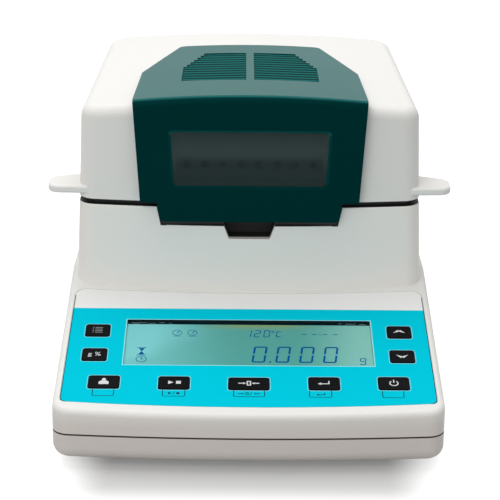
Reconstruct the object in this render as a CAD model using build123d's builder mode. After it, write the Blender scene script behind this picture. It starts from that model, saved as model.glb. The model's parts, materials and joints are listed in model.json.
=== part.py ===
from build123d import *
from math import cos, radians, sin, sqrt, tan
import os

# Bench halogen moisture analyzer. Millimetres, +Z up, operator's side towards -Y.
# The origin is on the table, under the middle of the analyzer.

# How far cutting shapes run past the faces that they open
overrun = 1.0

# Base
base_width = 210.0
body_depth = 332.0
rear_overhang = 8.0
base_bow_radius = 1136.0
base_corner_radius = 10.0
shell_wall = 2.5
foot_height = 5.0
split_height = 20.0
split_gap = 0.6
lower_edge_radius = 7.0
upper_edge_radius = 3.5
shoulder_height = 66.0

# Sloped control panel, measured up the slope from the foot of its overlay
panel_slope = 12.31
panel_foot_setback = 8.0
panel_foot_height = 35.04
panel_skin = 3.0
overlay_inset = 4.15
overlay_length = 111.6
overlay_corner_foot = 3.5
overlay_corner_top = 6.5
overlay_thickness = 0.6
overlay_gap = 0.35

# Display window
display_inset = 31.95
display_foot = 38.9
display_top = 83.1
lens_thickness = 1.6
display_flange = 5.0
display_depth = 9.5
display_fit = 0.2
display_corner = 1.0

# Keys: place across as a share of the overlay's half width, place up the slope, width with height
small_key = (13.4, 12.0)
wide_key = (16.6, 11.8)
tare_key = (21.9, 11.3)
keys = {
    "menu": (-0.844, 71.8, small_key),
    "unit": (-0.846, 47.8, small_key),
    "up": (0.842, 72.0, small_key),
    "down": (0.843, 47.9, small_key),
    "calibrate": (-0.777, 21.8, wide_key),
    "start": (-0.401, 21.4, wide_key),
    "tare": (0.001, 21.0, tare_key),
    "enter": (0.405, 21.6, wide_key),
    "power": (0.779, 22.2, wide_key),
}
key_corner = 1.4
key_edge = 0.25
key_proud = 0.5
key_gap = 0.35
key_flange = 1.0
key_flange_thickness = 1.2
key_flange_clearance = 0.2
key_travel = 0.6
key_stem_radius = 2.0
key_stem_clearance = 0.1
switch_width = 6.0
switch_height = 2.1
key_board_depth = 12.0
key_board_margin = 4.0
key_board_shift = 8.0
board_thickness = 1.6

# Main board
main_board_size = (150.0, 100.0)
main_board_setback = 86.0
board_post_inset = (15.0, 10.0)
board_post_height = 4.5
chip_width = 14.0
chip_height = 3.0
chip_places = ((-45.0, 0.0), (5.0, -25.0), (40.0, 5.0))
vent_slot = (40.0, 3.0)
vent_slot_pitch = 9.0
vent_slot_count = 12

# Chamber housing
tower_inset = 5.85
tower_side_draft = 2.4
tower_front_setback = 119.9
tower_bow_radius = 681.0
tower_corner_radius = 11.0
tower_edge_radius = 1.0
tower_top = 110.4
tower_deck = 4.0
tower_wall = 7.0
throat_width = 150.0
throat_front_gap = 25.0
throat_rear_gap = 1.0
rear_chamfer = 22.0
lid_gap = 3.0
lip_setback = 4.0
lip_width = 3.0
lip_clearance = 0.4
lip_corner = 8.0
lip_front_gap = 1.2
lip_rear_gap = 2.0

# Recess and finger notch under the hood's tab
tab_half_width_foot = 51.2
tab_half_width_top = 53.4
tab_drop = 10.7
tab_clearance = 0.8
tab_corner = 3.0
tab_overlap = 0.5
recess_drop = 3.5
recess_depth = 3.1
notch_half_width_top = 14.7
notch_half_width_foot = 11.9
notch_height = 7.7
notch_depth = 10.0
notch_deck = 4.0
notch_corner = 1.2
pocket_wall = 1.0

# Sample chamber
chamber_shift = 3.05
well_side_room = 42.15
well_end_room = 34.05
well_depth = 22.4
well_clearance = 0.3
liner_wall = 1.0
liner_flange = 8.0
draft_ring_gap = 3.0
draft_ring_wall = 4.0
draft_ring_height = 10.0
pan_gap = 12.0
pan_height = 2.4
pan_wall = 0.6
pan_rim = 2.6
handler_pan_gap = 1.0
handler_well_gap = 4.0
handler_thickness = 1.4
handler_tab_width = 22.0
handler_tab_height = 7.0
handler_tab_wall = 2.0
spindle_radius = 4.0
spindle_clearance = 2.0
spindle_gap = 0.3
support_hub_radius = 9.0
support_arm_inset = 11.0
support_arm_width = 6.0
support_arm_corner = 2.5
support_arm_drop = 3.0
support_arm_thickness = 2.8
weigh_travel = 0.4
cell_drop = 14.0
cell_width = 20.0
cell_height = 22.0
cell_front_reach = 12.0
cell_rear_gap = 16.0
cell_hole_radius = 7.0
cell_hole_spread = 14.0
cell_slot_height = 6.0
bracket_column = (30.0, 20.0)
bracket_column_inset = 10.0
bracket_plate = (40.0, 46.0, 4.0)
bracket_plate_inset = 20.0

# Lid
lid_rear_taper = 3.55
lid_side_draft = 2.2
lid_height = 59.1
lid_top_slope = 1.12
lid_crown_radius = 1000.0
lid_corner_front = 11.0
lid_corner_rear = 15.0
lid_top_radius = 7.0
lid_wall = 3.0
ear_length = 21.4
ear_rise = 2.6
ear_thickness = 4.5
ear_setback = 127.0
ear_root_depth = 31.0
ear_tip_depth = 20.5
ear_corner = 7.0
ear_edge = 1.5
ear_sweep = 1.0

# Hood over the lid's front and top
hood_face_setback = 117.0
hood_half_width_front = 66.9
hood_half_width_foot = 62.9
hood_half_width_rear = 44.6
hood_rise = 0.8
hood_lift = 4.5
hood_top_slope = 2.4
hood_crown_radius = 726.0
hood_fold_radius = 4.2
hood_shoulder = 200.0
hood_rear = 282.5
hood_corner = 5.0
hood_draw_in = 1.4

# Window in the hood
window_half_width_top = 45.2
window_half_width_foot = 43.4
window_rise = 9.8
window_height = 31.7
window_corner = 1.5
window_bevel = 1.4
glass_thickness = 1.2
glass_lap = 1.0
glass_fit = 0.2

# Louvres in the hood's top: slots with a blade that slopes up behind each
louvre_front = 165.5
louvre_pitch = 7.3
louvre_slot = 2.4
louvre_count = 12
louvre_half_width = 40.7
louvre_half_width_rear = 29.0
louvre_straight_rows = 6
louvre_rib = 4.7
louvre_sink = 0.5
louvre_drop = 2.5
louvre_body = 6.2
vent_margin = 2.0
vent_clearance = 0.3

# Lid hinge
hinge_setback = 14.0
hinge_rise = 4.6
hinge_shaft_radius = 3.0
hinge_shaft_length = 156.0
hinge_running_gap = 0.05
hinge_eye_radius = 7.0
hinge_arm_x = 62.0
hinge_arm_width = 8.0
hinge_side_gap = 1.0
hinge_slot_reach = 9.0
bracket_toe = 5.0
bracket_heel = 1.5
knuckle_width = 10.0
knuckle_lift = 2.0

# Heating unit in the lid
liner_plate_rise = 1.0
liner_plate_thickness = 2.0
liner_plate_clearance = 0.5
liner_rear_setback = 32.0
liner_corners = (7.0, 4.0)
lid_glass_lap = 3.0
lid_glass_thickness = 3.0
lid_glass_edge = 0.4
retainer_width = 4.0
retainer_thickness = 1.0
reflector_gap = 2.0
reflector_height = 30.0
reflector_shoulder = 12.0
reflector_cone = 11.0
reflector_hole_radius = 8.0
reflector_wall = 0.8
reflector_flange = 6.0
lamp_inset = 15.0
lamp_tube = 5.0
lamp_tube_sides = 16
lamp_rise = 21.6
lamp_gap_angle = 40.0
lamp_clearance = 0.8
lamp_end_rise = 3.0
lamp_holder_size = (14.0, 14.0, 9.0)
lamp_holder_corner = 2.0
shield_setback = 10.0
shield_side_gap = 3.0
shield_rear_gap = 16.0
shield_height = 41.6
shield_wall = 1.0
shield_hole_radius = 2.4
shield_hole_pitch = 10.4
shield_hole_count = 8
shield_hole_rise = 9.5
post_radius = 4.0
lid_post_inset = (13.0, 18.1, 12.0)
liner_screw_radius = 1.6
liner_screw_head = 1.2
liner_screw_head_radius = 3.0
sensor_radius = 1.2
sensor_drop = 4.9
sensor_reach = 19.0
sensor_bend = 2.0
sensor_hold = 4.0
sensor_step = (5.0, 8.0)

# Feet
foot_inset = 21.0
foot_front_setback = 38.0
foot_rear_setback = 30.0
foot_radius = 11.0
foot_clearance = 0.4
foot_sides = 16
foot_edge = 0.8
foot_stud_radius = 3.0
foot_stud_length = 9.0
foot_boss_radius = 7.0
foot_boss_roof = 2.0
foot_running_gap = 0.05

# Rear connectors
inlet_inset = 43.0
inlet_height = 43.0
inlet_width = 47.0
inlet_tall = 27.0
inlet_depth = 26.0
inlet_flange = 2.0
socket_size = (27.0, 19.5)
socket_corner = 5.0
socket_shift = 7.0
socket_depth = 16.0
pin_size = (2.0, 4.0)
pin_length = 13.0
pin_spread = (7.0, 2.0)
drawer_size = (8.0, 21.0)
drawer_gap = 0.2
drawer_shift = 15.5
drawer_proud = 0.6
transformer_core = (52.0, 44.0, 30.0)
transformer_winding = (38.0, 56.0, 20.0)
transformer_shift = 5.0
transformer_gap = 6.0
serial_inset = 75.0
serial_width = 31.0
serial_tall = 12.6
serial_depth = 8.0
serial_mouth = (17.0, 8.6)
serial_corner = 2.0
serial_clearance = 1.0
serial_proud = 3.0
serial_pin_depth = 5.0
serial_pin_pitch = 2.8
serial_pin_radius = 0.6
rear_vent_inset = 30.0
rear_vent_count = 5
rear_vent_width = 3.0
rear_vent_height = 16.0
rear_vent_pitch = 7.0

# Places worked out from the sizes above
front_y = -body_depth / 2
rear_y = body_depth / 2
base_rear_y = rear_y - rear_overhang
slope_rise = tan(radians(panel_slope))
panel_foot_y = front_y + panel_foot_setback
crease_y = panel_foot_y + (shoulder_height - panel_foot_height) / slope_rise
overlay_width = base_width - 2 * overlay_inset
display_width = overlay_width - 2 * display_inset
tower_width_top = base_width - 2 * tower_inset
tower_front_y = front_y + tower_front_setback
slant_top_y = base_rear_y - rear_chamfer
chamber_y = (tower_front_y + slant_top_y) / 2 + chamber_shift
well_radius = min(
    tower_width_top / 2 - well_side_room,
    (slant_top_y - tower_front_y) / 2 - well_end_room,
)
cell_front_y = chamber_y - cell_front_reach
cell_rear_y = slant_top_y - cell_rear_gap
throat_front_y = cell_front_y - throat_front_gap
throat_rear_y = cell_rear_y + throat_rear_gap
draft_ring_radius = well_radius - draft_ring_gap
pan_radius = well_radius - pan_gap
handler_inner = pan_radius + handler_pan_gap
handler_outer = well_radius - handler_well_gap
support_arm_length = pan_radius - support_arm_inset
lid_glass_radius = well_radius + lid_glass_lap
reflector_radius = lid_glass_radius + reflector_gap
lamp_radius = well_radius - lamp_inset
well_floor = tower_top - well_depth
cell_top = well_floor - cell_drop
lid_foot = tower_top + lid_gap
lid_top_front = lid_foot + lid_height
lid_width_rear = tower_width_top - 2 * lid_rear_taper
hood_face_y = front_y + hood_face_setback
hood_foot = lid_foot + hood_rise
hood_top_front = lid_top_front + hood_lift
window_foot = hood_foot + window_rise
window_top = window_foot + window_height
tab_thickness = tower_front_setback - hood_face_setback
tab_foot = lid_foot - tab_drop
recess_foot = tab_foot - recess_drop
notch_foot = recess_foot - notch_height
hinge_y = rear_y - hinge_setback
hinge_height = lid_foot + hinge_rise
liner_plate_foot = lid_foot + liner_plate_rise
liner_plate_top = liner_plate_foot + liner_plate_thickness
liner_plate_rear = rear_y - liner_rear_setback
tray_floor = foot_height + shell_wall
board_foot = tray_floor + board_post_height
inlet_x = inlet_inset - base_width / 2
serial_x = base_width / 2 - serial_inset
rear_vent_x = base_width / 2 - rear_vent_inset
panel = Plane(
    origin=(0, panel_foot_y, panel_foot_height),
    x_dir=(1, 0, 0),
    z_dir=(0, -sin(radians(panel_slope)), cos(radians(panel_slope))),
)

key_places = {name: (share * overlay_width / 2, up, size) for name, (share, up, size) in keys.items()}
panel_normal = Axis(panel.origin, panel.z_dir)

os.makedirs("parts", exist_ok=True)


def save(part, label):
    part.label = label
    export_step(part, f"parts/{label}.step")


def bow_sag(half_width, radius):
    return radius - sqrt(radius**2 - half_width**2)


# Plan outline with a bowed front, drawn in the sketch that is open
def bowed_outline(front_half, rear_half, front, rear, bow, front_corner, rear_corner):
    side = front + bow_sag(front_half, bow)
    with BuildLine() as outline:
        ThreePointArc((-front_half, side), (0, front), (front_half, side))
        Polyline((front_half, side), (rear_half, rear), (-rear_half, rear), (-front_half, side))
    make_face(outline.edges())
    fillet(vertices().group_by(Axis.Y)[-1], rear_corner)
    fillet(vertices().group_by(Axis.Y)[0], front_corner)


# Plane across the depth that leans back with a crowned top
def crown_plane(front_height, slope):
    drop = tan(radians(slope)) * (rear_y + overrun - tower_front_y)
    return Plane(
        origin=(0, rear_y + overrun, front_height - drop),
        x_dir=(1, 0, 0),
        z_dir=(0, -cos(radians(slope)), sin(radians(slope))),
    )


# Region under a crowned top, drawn in the sketch that is open
def under_crown(radius):
    reach = base_width * 0.7
    sag = bow_sag(reach, radius)
    with BuildLine() as outline:
        ThreePointArc((-reach, -sag), (0, 0), (reach, -sag))
        Polyline((reach, -sag), (reach, -body_depth), (-reach, -body_depth), (-reach, -sag))
    make_face(outline.edges())


# Rounded tray or block of the base between two heights
def base_block(inset, foot, top, edge_radius):
    half = base_width / 2 - inset
    with BuildPart() as block:
        with BuildSketch(Plane.XY.offset(foot)):
            bowed_outline(
                half, half, front_y + inset, base_rear_y - inset,
                base_bow_radius, base_corner_radius - inset, base_corner_radius - inset,
            )
        extrude(amount=top - foot)
        fillet(block.edges().group_by(Axis.Z)[0], edge_radius)
    return block.part


# Upper base as a closed form, with its sloped panel, level shoulder and, where given, a rounded rim
def upper_base(inset, skin, edge_radius):
    half = base_width / 2 - inset
    drop = skin / cos(radians(panel_slope))
    front_height = panel_foot_height - (panel_foot_setback + overrun) * slope_rise - drop
    crease = crease_y + (drop - skin) / slope_rise
    with BuildPart() as form:
        with BuildSketch(Plane.XY.offset(split_height)):
            bowed_outline(
                half, half, front_y + inset, base_rear_y - inset,
                base_bow_radius, base_corner_radius - inset, base_corner_radius - inset,
            )
        extrude(amount=shoulder_height)
        with BuildSketch(Plane.YZ):
            with BuildLine():
                Polyline(
                    (front_y - overrun, split_height), (front_y - overrun, front_height),
                    (crease, shoulder_height - skin), (base_rear_y + overrun, shoulder_height - skin),
                    (base_rear_y + overrun, split_height), close=True,
                )
            make_face()
        extrude(amount=base_width, both=True, mode=Mode.INTERSECT)
        rim = form.edges().filter_by(Axis.Z, reverse=True)
        rim = rim.filter_by(lambda edge: edge.center().Z > split_height + 2)
        at_crease = rim.filter_by(lambda edge: abs(edge.center().Y - crease) < 1)
        rim = rim.filter_by(lambda edge: edge not in at_crease.filter_by(Axis.X))
        if edge_radius:
            fillet(rim, edge_radius)
    return form.part


# Key or window outline on the panel, drawn in the sketch that is open
def key_shape(place, grow):
    across, up, (width, height) = place
    with Locations((across, up)):
        RectangleRounded(width + 2 * grow, height + 2 * grow, key_corner + grow)


def display_shape(grow):
    height = display_top - display_foot
    with Locations((0, display_foot + height / 2)):
        RectangleRounded(display_width + 2 * grow, height + 2 * grow, display_corner + max(grow, 0))


# Overlay outline with its bowed foot and top edges
def overlay_shape(grow):
    half = overlay_width / 2 + grow
    foot, top = -grow, overlay_length + grow
    sag = bow_sag(half, base_bow_radius)
    with BuildLine() as outline:
        ThreePointArc((-half, foot + sag), (0, foot), (half, foot + sag))
        Line((half, foot + sag), (half, top + sag))
        ThreePointArc((half, top + sag), (0, top), (-half, top + sag))
        Line((-half, top + sag), (-half, foot + sag))
    make_face(outline.edges())
    fillet(vertices().group_by(Axis.Y)[-1], overlay_corner_top)
    fillet(vertices().group_by(Axis.Y)[0], overlay_corner_foot)


# Lid as a closed form: drafted sides, crowned top, top edge rounded where a radius is given
def lid_form(inset, edge_radius):
    rise = hood_top_front - lid_foot
    lean = rise * tan(radians(lid_side_draft))
    with BuildPart() as form:
        for height, lean_in in ((lid_foot, 0), (lid_foot + rise, lean)):
            with BuildSketch(Plane.XY.offset(height)):
                bowed_outline(
                    tower_width_top / 2 - inset - lean_in, lid_width_rear / 2 - inset - lean_in,
                    tower_front_y + inset, rear_y - inset, tower_bow_radius,
                    lid_corner_front - inset, lid_corner_rear - inset,
                )
        loft(ruled=True)
        with BuildSketch(crown_plane(lid_top_front - inset, lid_top_slope)):
            under_crown(lid_crown_radius)
        extrude(amount=body_depth, mode=Mode.INTERSECT)
        if edge_radius:
            rim = form.edges().filter_by(lambda edge: edge.center().Z > lid_top_front - 15)
            fillet(rim.filter_by(lambda edge: edge.bounding_box().size.Z < 10), edge_radius)
    return form.part


# Hood's crowned top surface, lowered by a given depth, as a closed form
def hood_crown(lowered):
    with BuildPart() as form:
        with BuildSketch(crown_plane(hood_top_front - lowered, hood_top_slope)):
            under_crown(hood_crown_radius)
        extrude(amount=body_depth)
    return form.part


def window_shape(grow):
    with BuildLine() as outline:
        Polyline(
            (-window_half_width_foot - grow, window_foot - grow),
            (window_half_width_foot + grow, window_foot - grow),
            (window_half_width_top + grow, window_top + grow),
            (-window_half_width_top - grow, window_top + grow), close=True,
        )
    make_face(outline.edges())
    fillet(vertices(), window_corner + max(grow, 0))


def louvre_reach(row):
    if row < louvre_straight_rows:
        return louvre_half_width
    steps = louvre_count - louvre_straight_rows
    share = (row - louvre_straight_rows + 1) / steps
    return louvre_half_width - share * (louvre_half_width - louvre_half_width_rear)


# Lower base tray with foot bosses and board posts
foot_x = base_width / 2 - foot_inset
foot_front_y = front_y + foot_front_setback
foot_rear_y = base_rear_y - foot_rear_setback
board_y = front_y + main_board_setback + main_board_size[1] / 2
post_x = main_board_size[0] / 2 - board_post_inset[0]
post_y = main_board_size[1] / 2 - board_post_inset[1]
lower_bosses = [(x, y) for x in (-foot_x, foot_x) for y in (foot_front_y, foot_rear_y)]
board_posts = [(x, board_y + y) for x in (-post_x, post_x) for y in (-post_y, post_y)]
lower_form = base_block(0, foot_height, split_height - split_gap / 2, lower_edge_radius)
lower_inside = base_block(shell_wall, foot_height + shell_wall, split_height, lower_edge_radius - shell_wall)

with BuildPart() as lower_shell:
    add(lower_form)
    add(lower_inside, mode=Mode.SUBTRACT)
    with BuildSketch(Plane.XY.offset(foot_height + shell_wall / 2)):
        with Locations(*lower_bosses):
            Circle(foot_boss_radius)
    extrude(amount=foot_stud_length + foot_boss_roof)
    with BuildSketch(Plane.XY.offset(foot_height + shell_wall / 2)):
        with Locations(*board_posts):
            Circle(post_radius)
    extrude(amount=board_foot - foot_height - shell_wall / 2)
    with BuildSketch(Plane.XY):
        with Locations(*lower_bosses):
            Circle(foot_stud_radius + foot_running_gap)
    extrude(amount=foot_height + foot_stud_length + foot_clearance, mode=Mode.SUBTRACT)
    with BuildSketch(Plane.XY.offset(foot_height)):
        with GridLocations(vent_slot_pitch, 0, vent_slot_count, 1):
            SlotOverall(*vent_slot, rotation=90)
    extrude(amount=shell_wall, mode=Mode.SUBTRACT)
save(lower_shell.part, "lower_shell")

# Levelling feet: round pad with a grip rim and a stud
for side, x in (("left", -foot_x), ("right", foot_x)):
    for end, y in (("front", foot_front_y), ("rear", foot_rear_y)):
        with BuildPart(Plane((x, y, 0))) as foot:
            with BuildSketch(Plane((x, y, 0))):
                RegularPolygon(foot_radius, foot_sides)
            extrude(amount=foot_height - foot_clearance)
            chamfer(foot.edges().group_by(Axis.Z)[0], foot_edge)
            with BuildSketch(Plane((x, y, foot_height - foot_clearance))):
                Circle(foot_stud_radius)
            extrude(amount=foot_stud_length)
        save(foot.part, f"levelling_foot_{end}_{side}")

# Upper base shell with panel openings, tower throat and rear openings
base_form = upper_base(0, 0, upper_edge_radius)
base_inside = upper_base(shell_wall, panel_skin, 0)
rear_wall = Plane.XZ.offset(-base_rear_y - overrun)

with BuildPart() as base_top_shell:
    add(base_form)
    add(base_inside, mode=Mode.SUBTRACT)
    with BuildSketch(Plane.XY.offset(split_height)):
        Rectangle(base_width * 2, body_depth * 2)
    extrude(amount=split_gap / 2, mode=Mode.SUBTRACT)
    with BuildSketch(panel):
        overlay_shape(overlay_gap)
    extrude(amount=-overlay_thickness, mode=Mode.SUBTRACT)
    with BuildSketch(panel):
        display_shape(overlay_gap)
        for place in key_places.values():
            key_shape(place, key_gap)
    extrude(amount=-panel_skin - overrun, mode=Mode.SUBTRACT)
    with BuildSketch(Plane.XY.offset(shoulder_height - panel_skin - overrun)):
        with Locations((0, (throat_front_y + throat_rear_y) / 2)):
            Rectangle(throat_width, throat_rear_y - throat_front_y)
    extrude(amount=panel_skin + 2 * overrun, mode=Mode.SUBTRACT)
    with BuildSketch(rear_wall):
        with Locations((inlet_x, inlet_height)):
            Rectangle(inlet_width, inlet_tall)
        with Locations((serial_x, inlet_height)):
            RectangleRounded(
                serial_mouth[0] + 2 * serial_clearance, serial_mouth[1] + 2 * serial_clearance, serial_corner,
            )
    extrude(amount=shell_wall + 2 * overrun, mode=Mode.SUBTRACT)
    with BuildSketch(rear_wall):
        with Locations((rear_vent_x, inlet_height)):
            with GridLocations(rear_vent_pitch, 0, rear_vent_count, 1):
                SlotOverall(rear_vent_height, rear_vent_width, rotation=90)
    extrude(amount=shell_wall + 2 * overrun, mode=Mode.SUBTRACT)
save(base_top_shell.part, "base_top_shell")

# Overlay with cut-outs for the display and the keys
with BuildPart() as keypad_overlay:
    with BuildSketch(panel):
        overlay_shape(0)
    extrude(amount=-overlay_thickness)
    with BuildSketch(panel):
        display_shape(overlay_gap)
        for place in key_places.values():
            key_shape(place, key_gap)
    extrude(amount=-overlay_thickness, mode=Mode.SUBTRACT)
save(keypad_overlay.part, "keypad_overlay")

# Keys: cap, retaining flange under the shell and stem
flange_depth = panel_skin + key_flange_clearance
stem_depth = key_board_depth - switch_height - key_travel - key_stem_clearance
for name, place in key_places.items():
    across, up, _ = place
    with BuildPart() as key:
        with BuildSketch(panel.offset(-flange_depth)):
            key_shape(place, 0)
        extrude(amount=flange_depth + key_proud)
        chamfer(key.faces().sort_by(panel_normal)[-1].edges(), key_edge)
        with BuildSketch(panel.offset(-flange_depth)):
            key_shape(place, key_flange)
        extrude(amount=-key_flange_thickness)
        with BuildSketch(panel.offset(-flange_depth)):
            with Locations((across, up)):
                Circle(key_stem_radius)
        extrude(amount=flange_depth - stem_depth)
    save(key.part, f"key_{name}")

# Display: clear lens over a liquid crystal module
with BuildPart() as display_lens:
    with BuildSketch(panel.offset(-lens_thickness)):
        display_shape(0)
    extrude(amount=lens_thickness)
save(display_lens.part, "display_lens")

with BuildPart() as display_module:
    with BuildSketch(panel.offset(-lens_thickness)):
        display_shape(0)
    extrude(amount=-(panel_skin + 2 * display_fit - lens_thickness))
    with BuildSketch(panel.offset(-panel_skin - display_fit)):
        display_shape(display_flange)
    extrude(amount=-(display_depth - panel_skin - display_fit))
save(display_module.part, "display_module")

# Key board with one switch under each key
with BuildPart() as key_board:
    with BuildSketch(panel.offset(-key_board_depth)):
        with Locations((0, overlay_length / 2 - key_board_shift)):
            Rectangle(
                overlay_width - 2 * key_board_margin,
                overlay_length - 2 * (key_board_shift + key_board_margin),
            )
    extrude(amount=-board_thickness)
    with BuildSketch(panel.offset(-key_board_depth)):
        for across, up, _ in key_places.values():
            with Locations((across, up)):
                Rectangle(switch_width, switch_width)
    extrude(amount=switch_height)
save(key_board.part, "key_board")

# Main board on its posts
with BuildPart() as main_board:
    with BuildSketch(Plane.XY.offset(board_foot)):
        with Locations((0, board_y)):
            Rectangle(*main_board_size)
    extrude(amount=board_thickness)
    with BuildSketch(Plane.XY.offset(board_foot + board_thickness)):
        for across, along in chip_places:
            with Locations((across, board_y + along)):
                Rectangle(chip_width, chip_width)
    extrude(amount=chip_height)
save(main_board.part, "main_board")

# Mains transformer on the tray's floor
core_width, core_depth, core_height = transformer_core
winding_width, winding_depth, winding_height = transformer_winding
transformer_place = (
    inlet_x + transformer_shift,
    base_rear_y - inlet_depth - transformer_gap - winding_depth / 2,
)
with BuildPart() as transformer:
    with BuildSketch(Plane.XY.offset(tray_floor)):
        with Locations(transformer_place):
            Rectangle(core_width, core_depth)
    extrude(amount=core_height)
    with BuildSketch(Plane.XY.offset(tray_floor + (core_height - winding_height) / 2)):
        with Locations(transformer_place):
            Rectangle(winding_width, winding_depth)
    extrude(amount=winding_height)
save(transformer.part, "transformer")

# Mains inlet with three contact slots and a fuse drawer
inlet_plane = Plane.XZ.offset(-base_rear_y)
with BuildPart() as power_inlet:
    with BuildSketch(inlet_plane):
        with Locations((inlet_x, inlet_height)):
            RectangleRounded(inlet_width + 2 * inlet_flange, inlet_tall + 2 * inlet_flange, inlet_flange)
    extrude(amount=-inlet_flange)
    with BuildSketch(inlet_plane):
        with Locations((inlet_x, inlet_height)):
            Rectangle(inlet_width - 2 * drawer_gap, inlet_tall - 2 * drawer_gap)
    extrude(amount=inlet_depth)
    with BuildSketch(inlet_plane.offset(-inlet_flange)):
        with Locations((inlet_x - socket_shift, inlet_height)):
            Rectangle(*socket_size)
        chamfer(vertices().group_by(Axis.Y)[-1], socket_corner)
        with Locations((inlet_x + drawer_shift, inlet_height)):
            Rectangle(drawer_size[0] + 2 * drawer_gap, drawer_size[1] + 2 * drawer_gap)
    extrude(amount=socket_depth + inlet_flange, mode=Mode.SUBTRACT)
    with BuildSketch(inlet_plane.offset(socket_depth)):
        with Locations((inlet_x - socket_shift, inlet_height)):
            with Locations(
                (-pin_spread[0], -pin_spread[1]), (pin_spread[0], -pin_spread[1]), (0, pin_spread[1]),
            ):
                Rectangle(*pin_size)
    extrude(amount=-pin_length)
save(power_inlet.part, "power_inlet")

with BuildPart() as fuse_drawer:
    with BuildSketch(inlet_plane.offset(-inlet_flange - drawer_proud)):
        with Locations((inlet_x + drawer_shift, inlet_height)):
            Rectangle(*drawer_size)
    extrude(amount=socket_depth + inlet_flange)
save(fuse_drawer.part, "fuse_drawer")

# Nine-way serial socket
with BuildPart() as serial_port:
    with BuildSketch(inlet_plane.offset(shell_wall)):
        with Locations((serial_x, inlet_height)):
            Rectangle(serial_width, serial_tall)
    extrude(amount=serial_depth)
    with BuildSketch(inlet_plane.offset(shell_wall)):
        with Locations((serial_x, inlet_height)):
            RectangleRounded(*serial_mouth, serial_corner)
    extrude(amount=-shell_wall - serial_proud)
    with BuildSketch(inlet_plane.offset(-serial_proud - overrun)):
        for side, pins in ((1, 5), (-1, 4)):
            with Locations((serial_x, inlet_height + side * serial_pin_pitch / 2)):
                with GridLocations(serial_pin_pitch, 0, pins, 1):
                    Circle(serial_pin_radius)
    extrude(amount=serial_pin_depth + overrun, mode=Mode.SUBTRACT)
save(serial_port.part, "serial_port")


# Chamber housing outline at a height
def tower_outline(height, inset):
    lean = (tower_top - height) * tan(radians(tower_side_draft))
    half = tower_width_top / 2 + lean - inset
    bowed_outline(
        half, half, tower_front_y + inset, base_rear_y - inset,
        tower_bow_radius, tower_corner_radius - min(inset, 6), tower_corner_radius - min(inset, 6),
    )


tab_lean = (tab_half_width_top - tab_half_width_foot) / tab_drop
notch_back_y = tower_front_y + recess_depth + notch_depth
notch_top = tower_top - notch_deck
hollow_front_y = notch_back_y + pocket_wall + shell_wall


# Finger notch outline, drawn in the sketch that is open
def notch_shape(grow):
    foot_half, top_half = notch_half_width_foot + grow, notch_half_width_top + grow
    with BuildLine() as outline:
        Polyline(
            (-foot_half, notch_foot - grow), (foot_half, notch_foot - grow),
            (top_half, recess_foot), (top_half, notch_top + grow),
            (-top_half, notch_top + grow), (-top_half, recess_foot), close=True,
        )
    make_face(outline.edges())
    fillet(vertices().group_by(Axis.Y)[0], notch_corner + grow)


with BuildPart() as chamber_housing:
    for height in (panel_foot_height, tower_top):
        with BuildSketch(Plane.XY.offset(height)):
            tower_outline(height, 0)
    loft(ruled=True)
    fillet(chamber_housing.edges().group_by(Axis.Z)[-1], tower_edge_radius)
    add(base_form, mode=Mode.SUBTRACT)
    with BuildSketch(Plane.YZ):
        with BuildLine():
            Polyline(
                (slant_top_y - overrun, tower_top + overrun),
                (base_rear_y + overrun, tower_top - rear_chamfer - overrun),
                (base_rear_y + overrun, tower_top + overrun), close=True,
            )
        make_face()
    extrude(amount=base_width, both=True, mode=Mode.SUBTRACT)
    with BuildSketch(Plane.XY.offset(panel_foot_height)):
        with Locations((0, (hollow_front_y + slant_top_y) / 2)):
            Rectangle(tower_width_top - 2 * tower_wall, slant_top_y - hollow_front_y)
    extrude(amount=tower_top - tower_deck - panel_foot_height, mode=Mode.SUBTRACT)
    with BuildSketch(Plane.XY.offset(tower_top)):
        with Locations((0, chamber_y)):
            Circle(well_radius + liner_wall + well_clearance)
    extrude(amount=-tower_deck - overrun, mode=Mode.SUBTRACT)
    with BuildSketch(Plane.XZ.offset(-tower_front_y - recess_depth)):
        with BuildLine():
            foot_half = tab_half_width_foot + tab_clearance - (tab_foot - recess_foot) * tab_lean
            top_half = tab_half_width_top + tab_clearance
            Polyline(
                (-foot_half, recess_foot), (foot_half, recess_foot),
                (top_half, lid_foot), (-top_half, lid_foot), close=True,
            )
        make_face()
        fillet(vertices().group_by(Axis.Y)[0], tab_corner)
    extrude(amount=recess_depth + overrun, mode=Mode.SUBTRACT)
    with BuildSketch(Plane.XZ.offset(-notch_back_y)):
        notch_shape(0)
    extrude(amount=notch_depth + recess_depth + overrun, mode=Mode.SUBTRACT)
    with BuildSketch(Plane.XZ.offset(-notch_back_y - pocket_wall)):
        notch_shape(pocket_wall)
    extrude(amount=notch_depth, mode=Mode.SUBTRACT)
save(chamber_housing.part, "chamber_housing")

# Dark pocket that lines the finger notch
with BuildPart() as notch_pocket:
    with BuildSketch(Plane.XZ.offset(-notch_back_y - pocket_wall)):
        notch_shape(pocket_wall)
    extrude(amount=notch_depth)
    with BuildSketch(Plane.XZ.offset(-notch_back_y)):
        notch_shape(0)
    extrude(amount=notch_depth, mode=Mode.SUBTRACT)
save(notch_pocket.part, "notch_pocket")

# Dark lip that stands in the gap under the lid
with BuildPart() as chamber_lip:
    with BuildSketch(Plane.XY.offset(tower_top)):
        half = tower_width_top / 2 - lip_setback
        bowed_outline(
            half, half, tower_front_y + recess_depth + lip_front_gap, slant_top_y - lip_rear_gap,
            tower_bow_radius, lip_corner, lip_corner,
        )
        offset(amount=-lip_width, mode=Mode.SUBTRACT)
    extrude(amount=lid_gap - lip_clearance)
save(chamber_lip.part, "chamber_lip")

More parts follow.
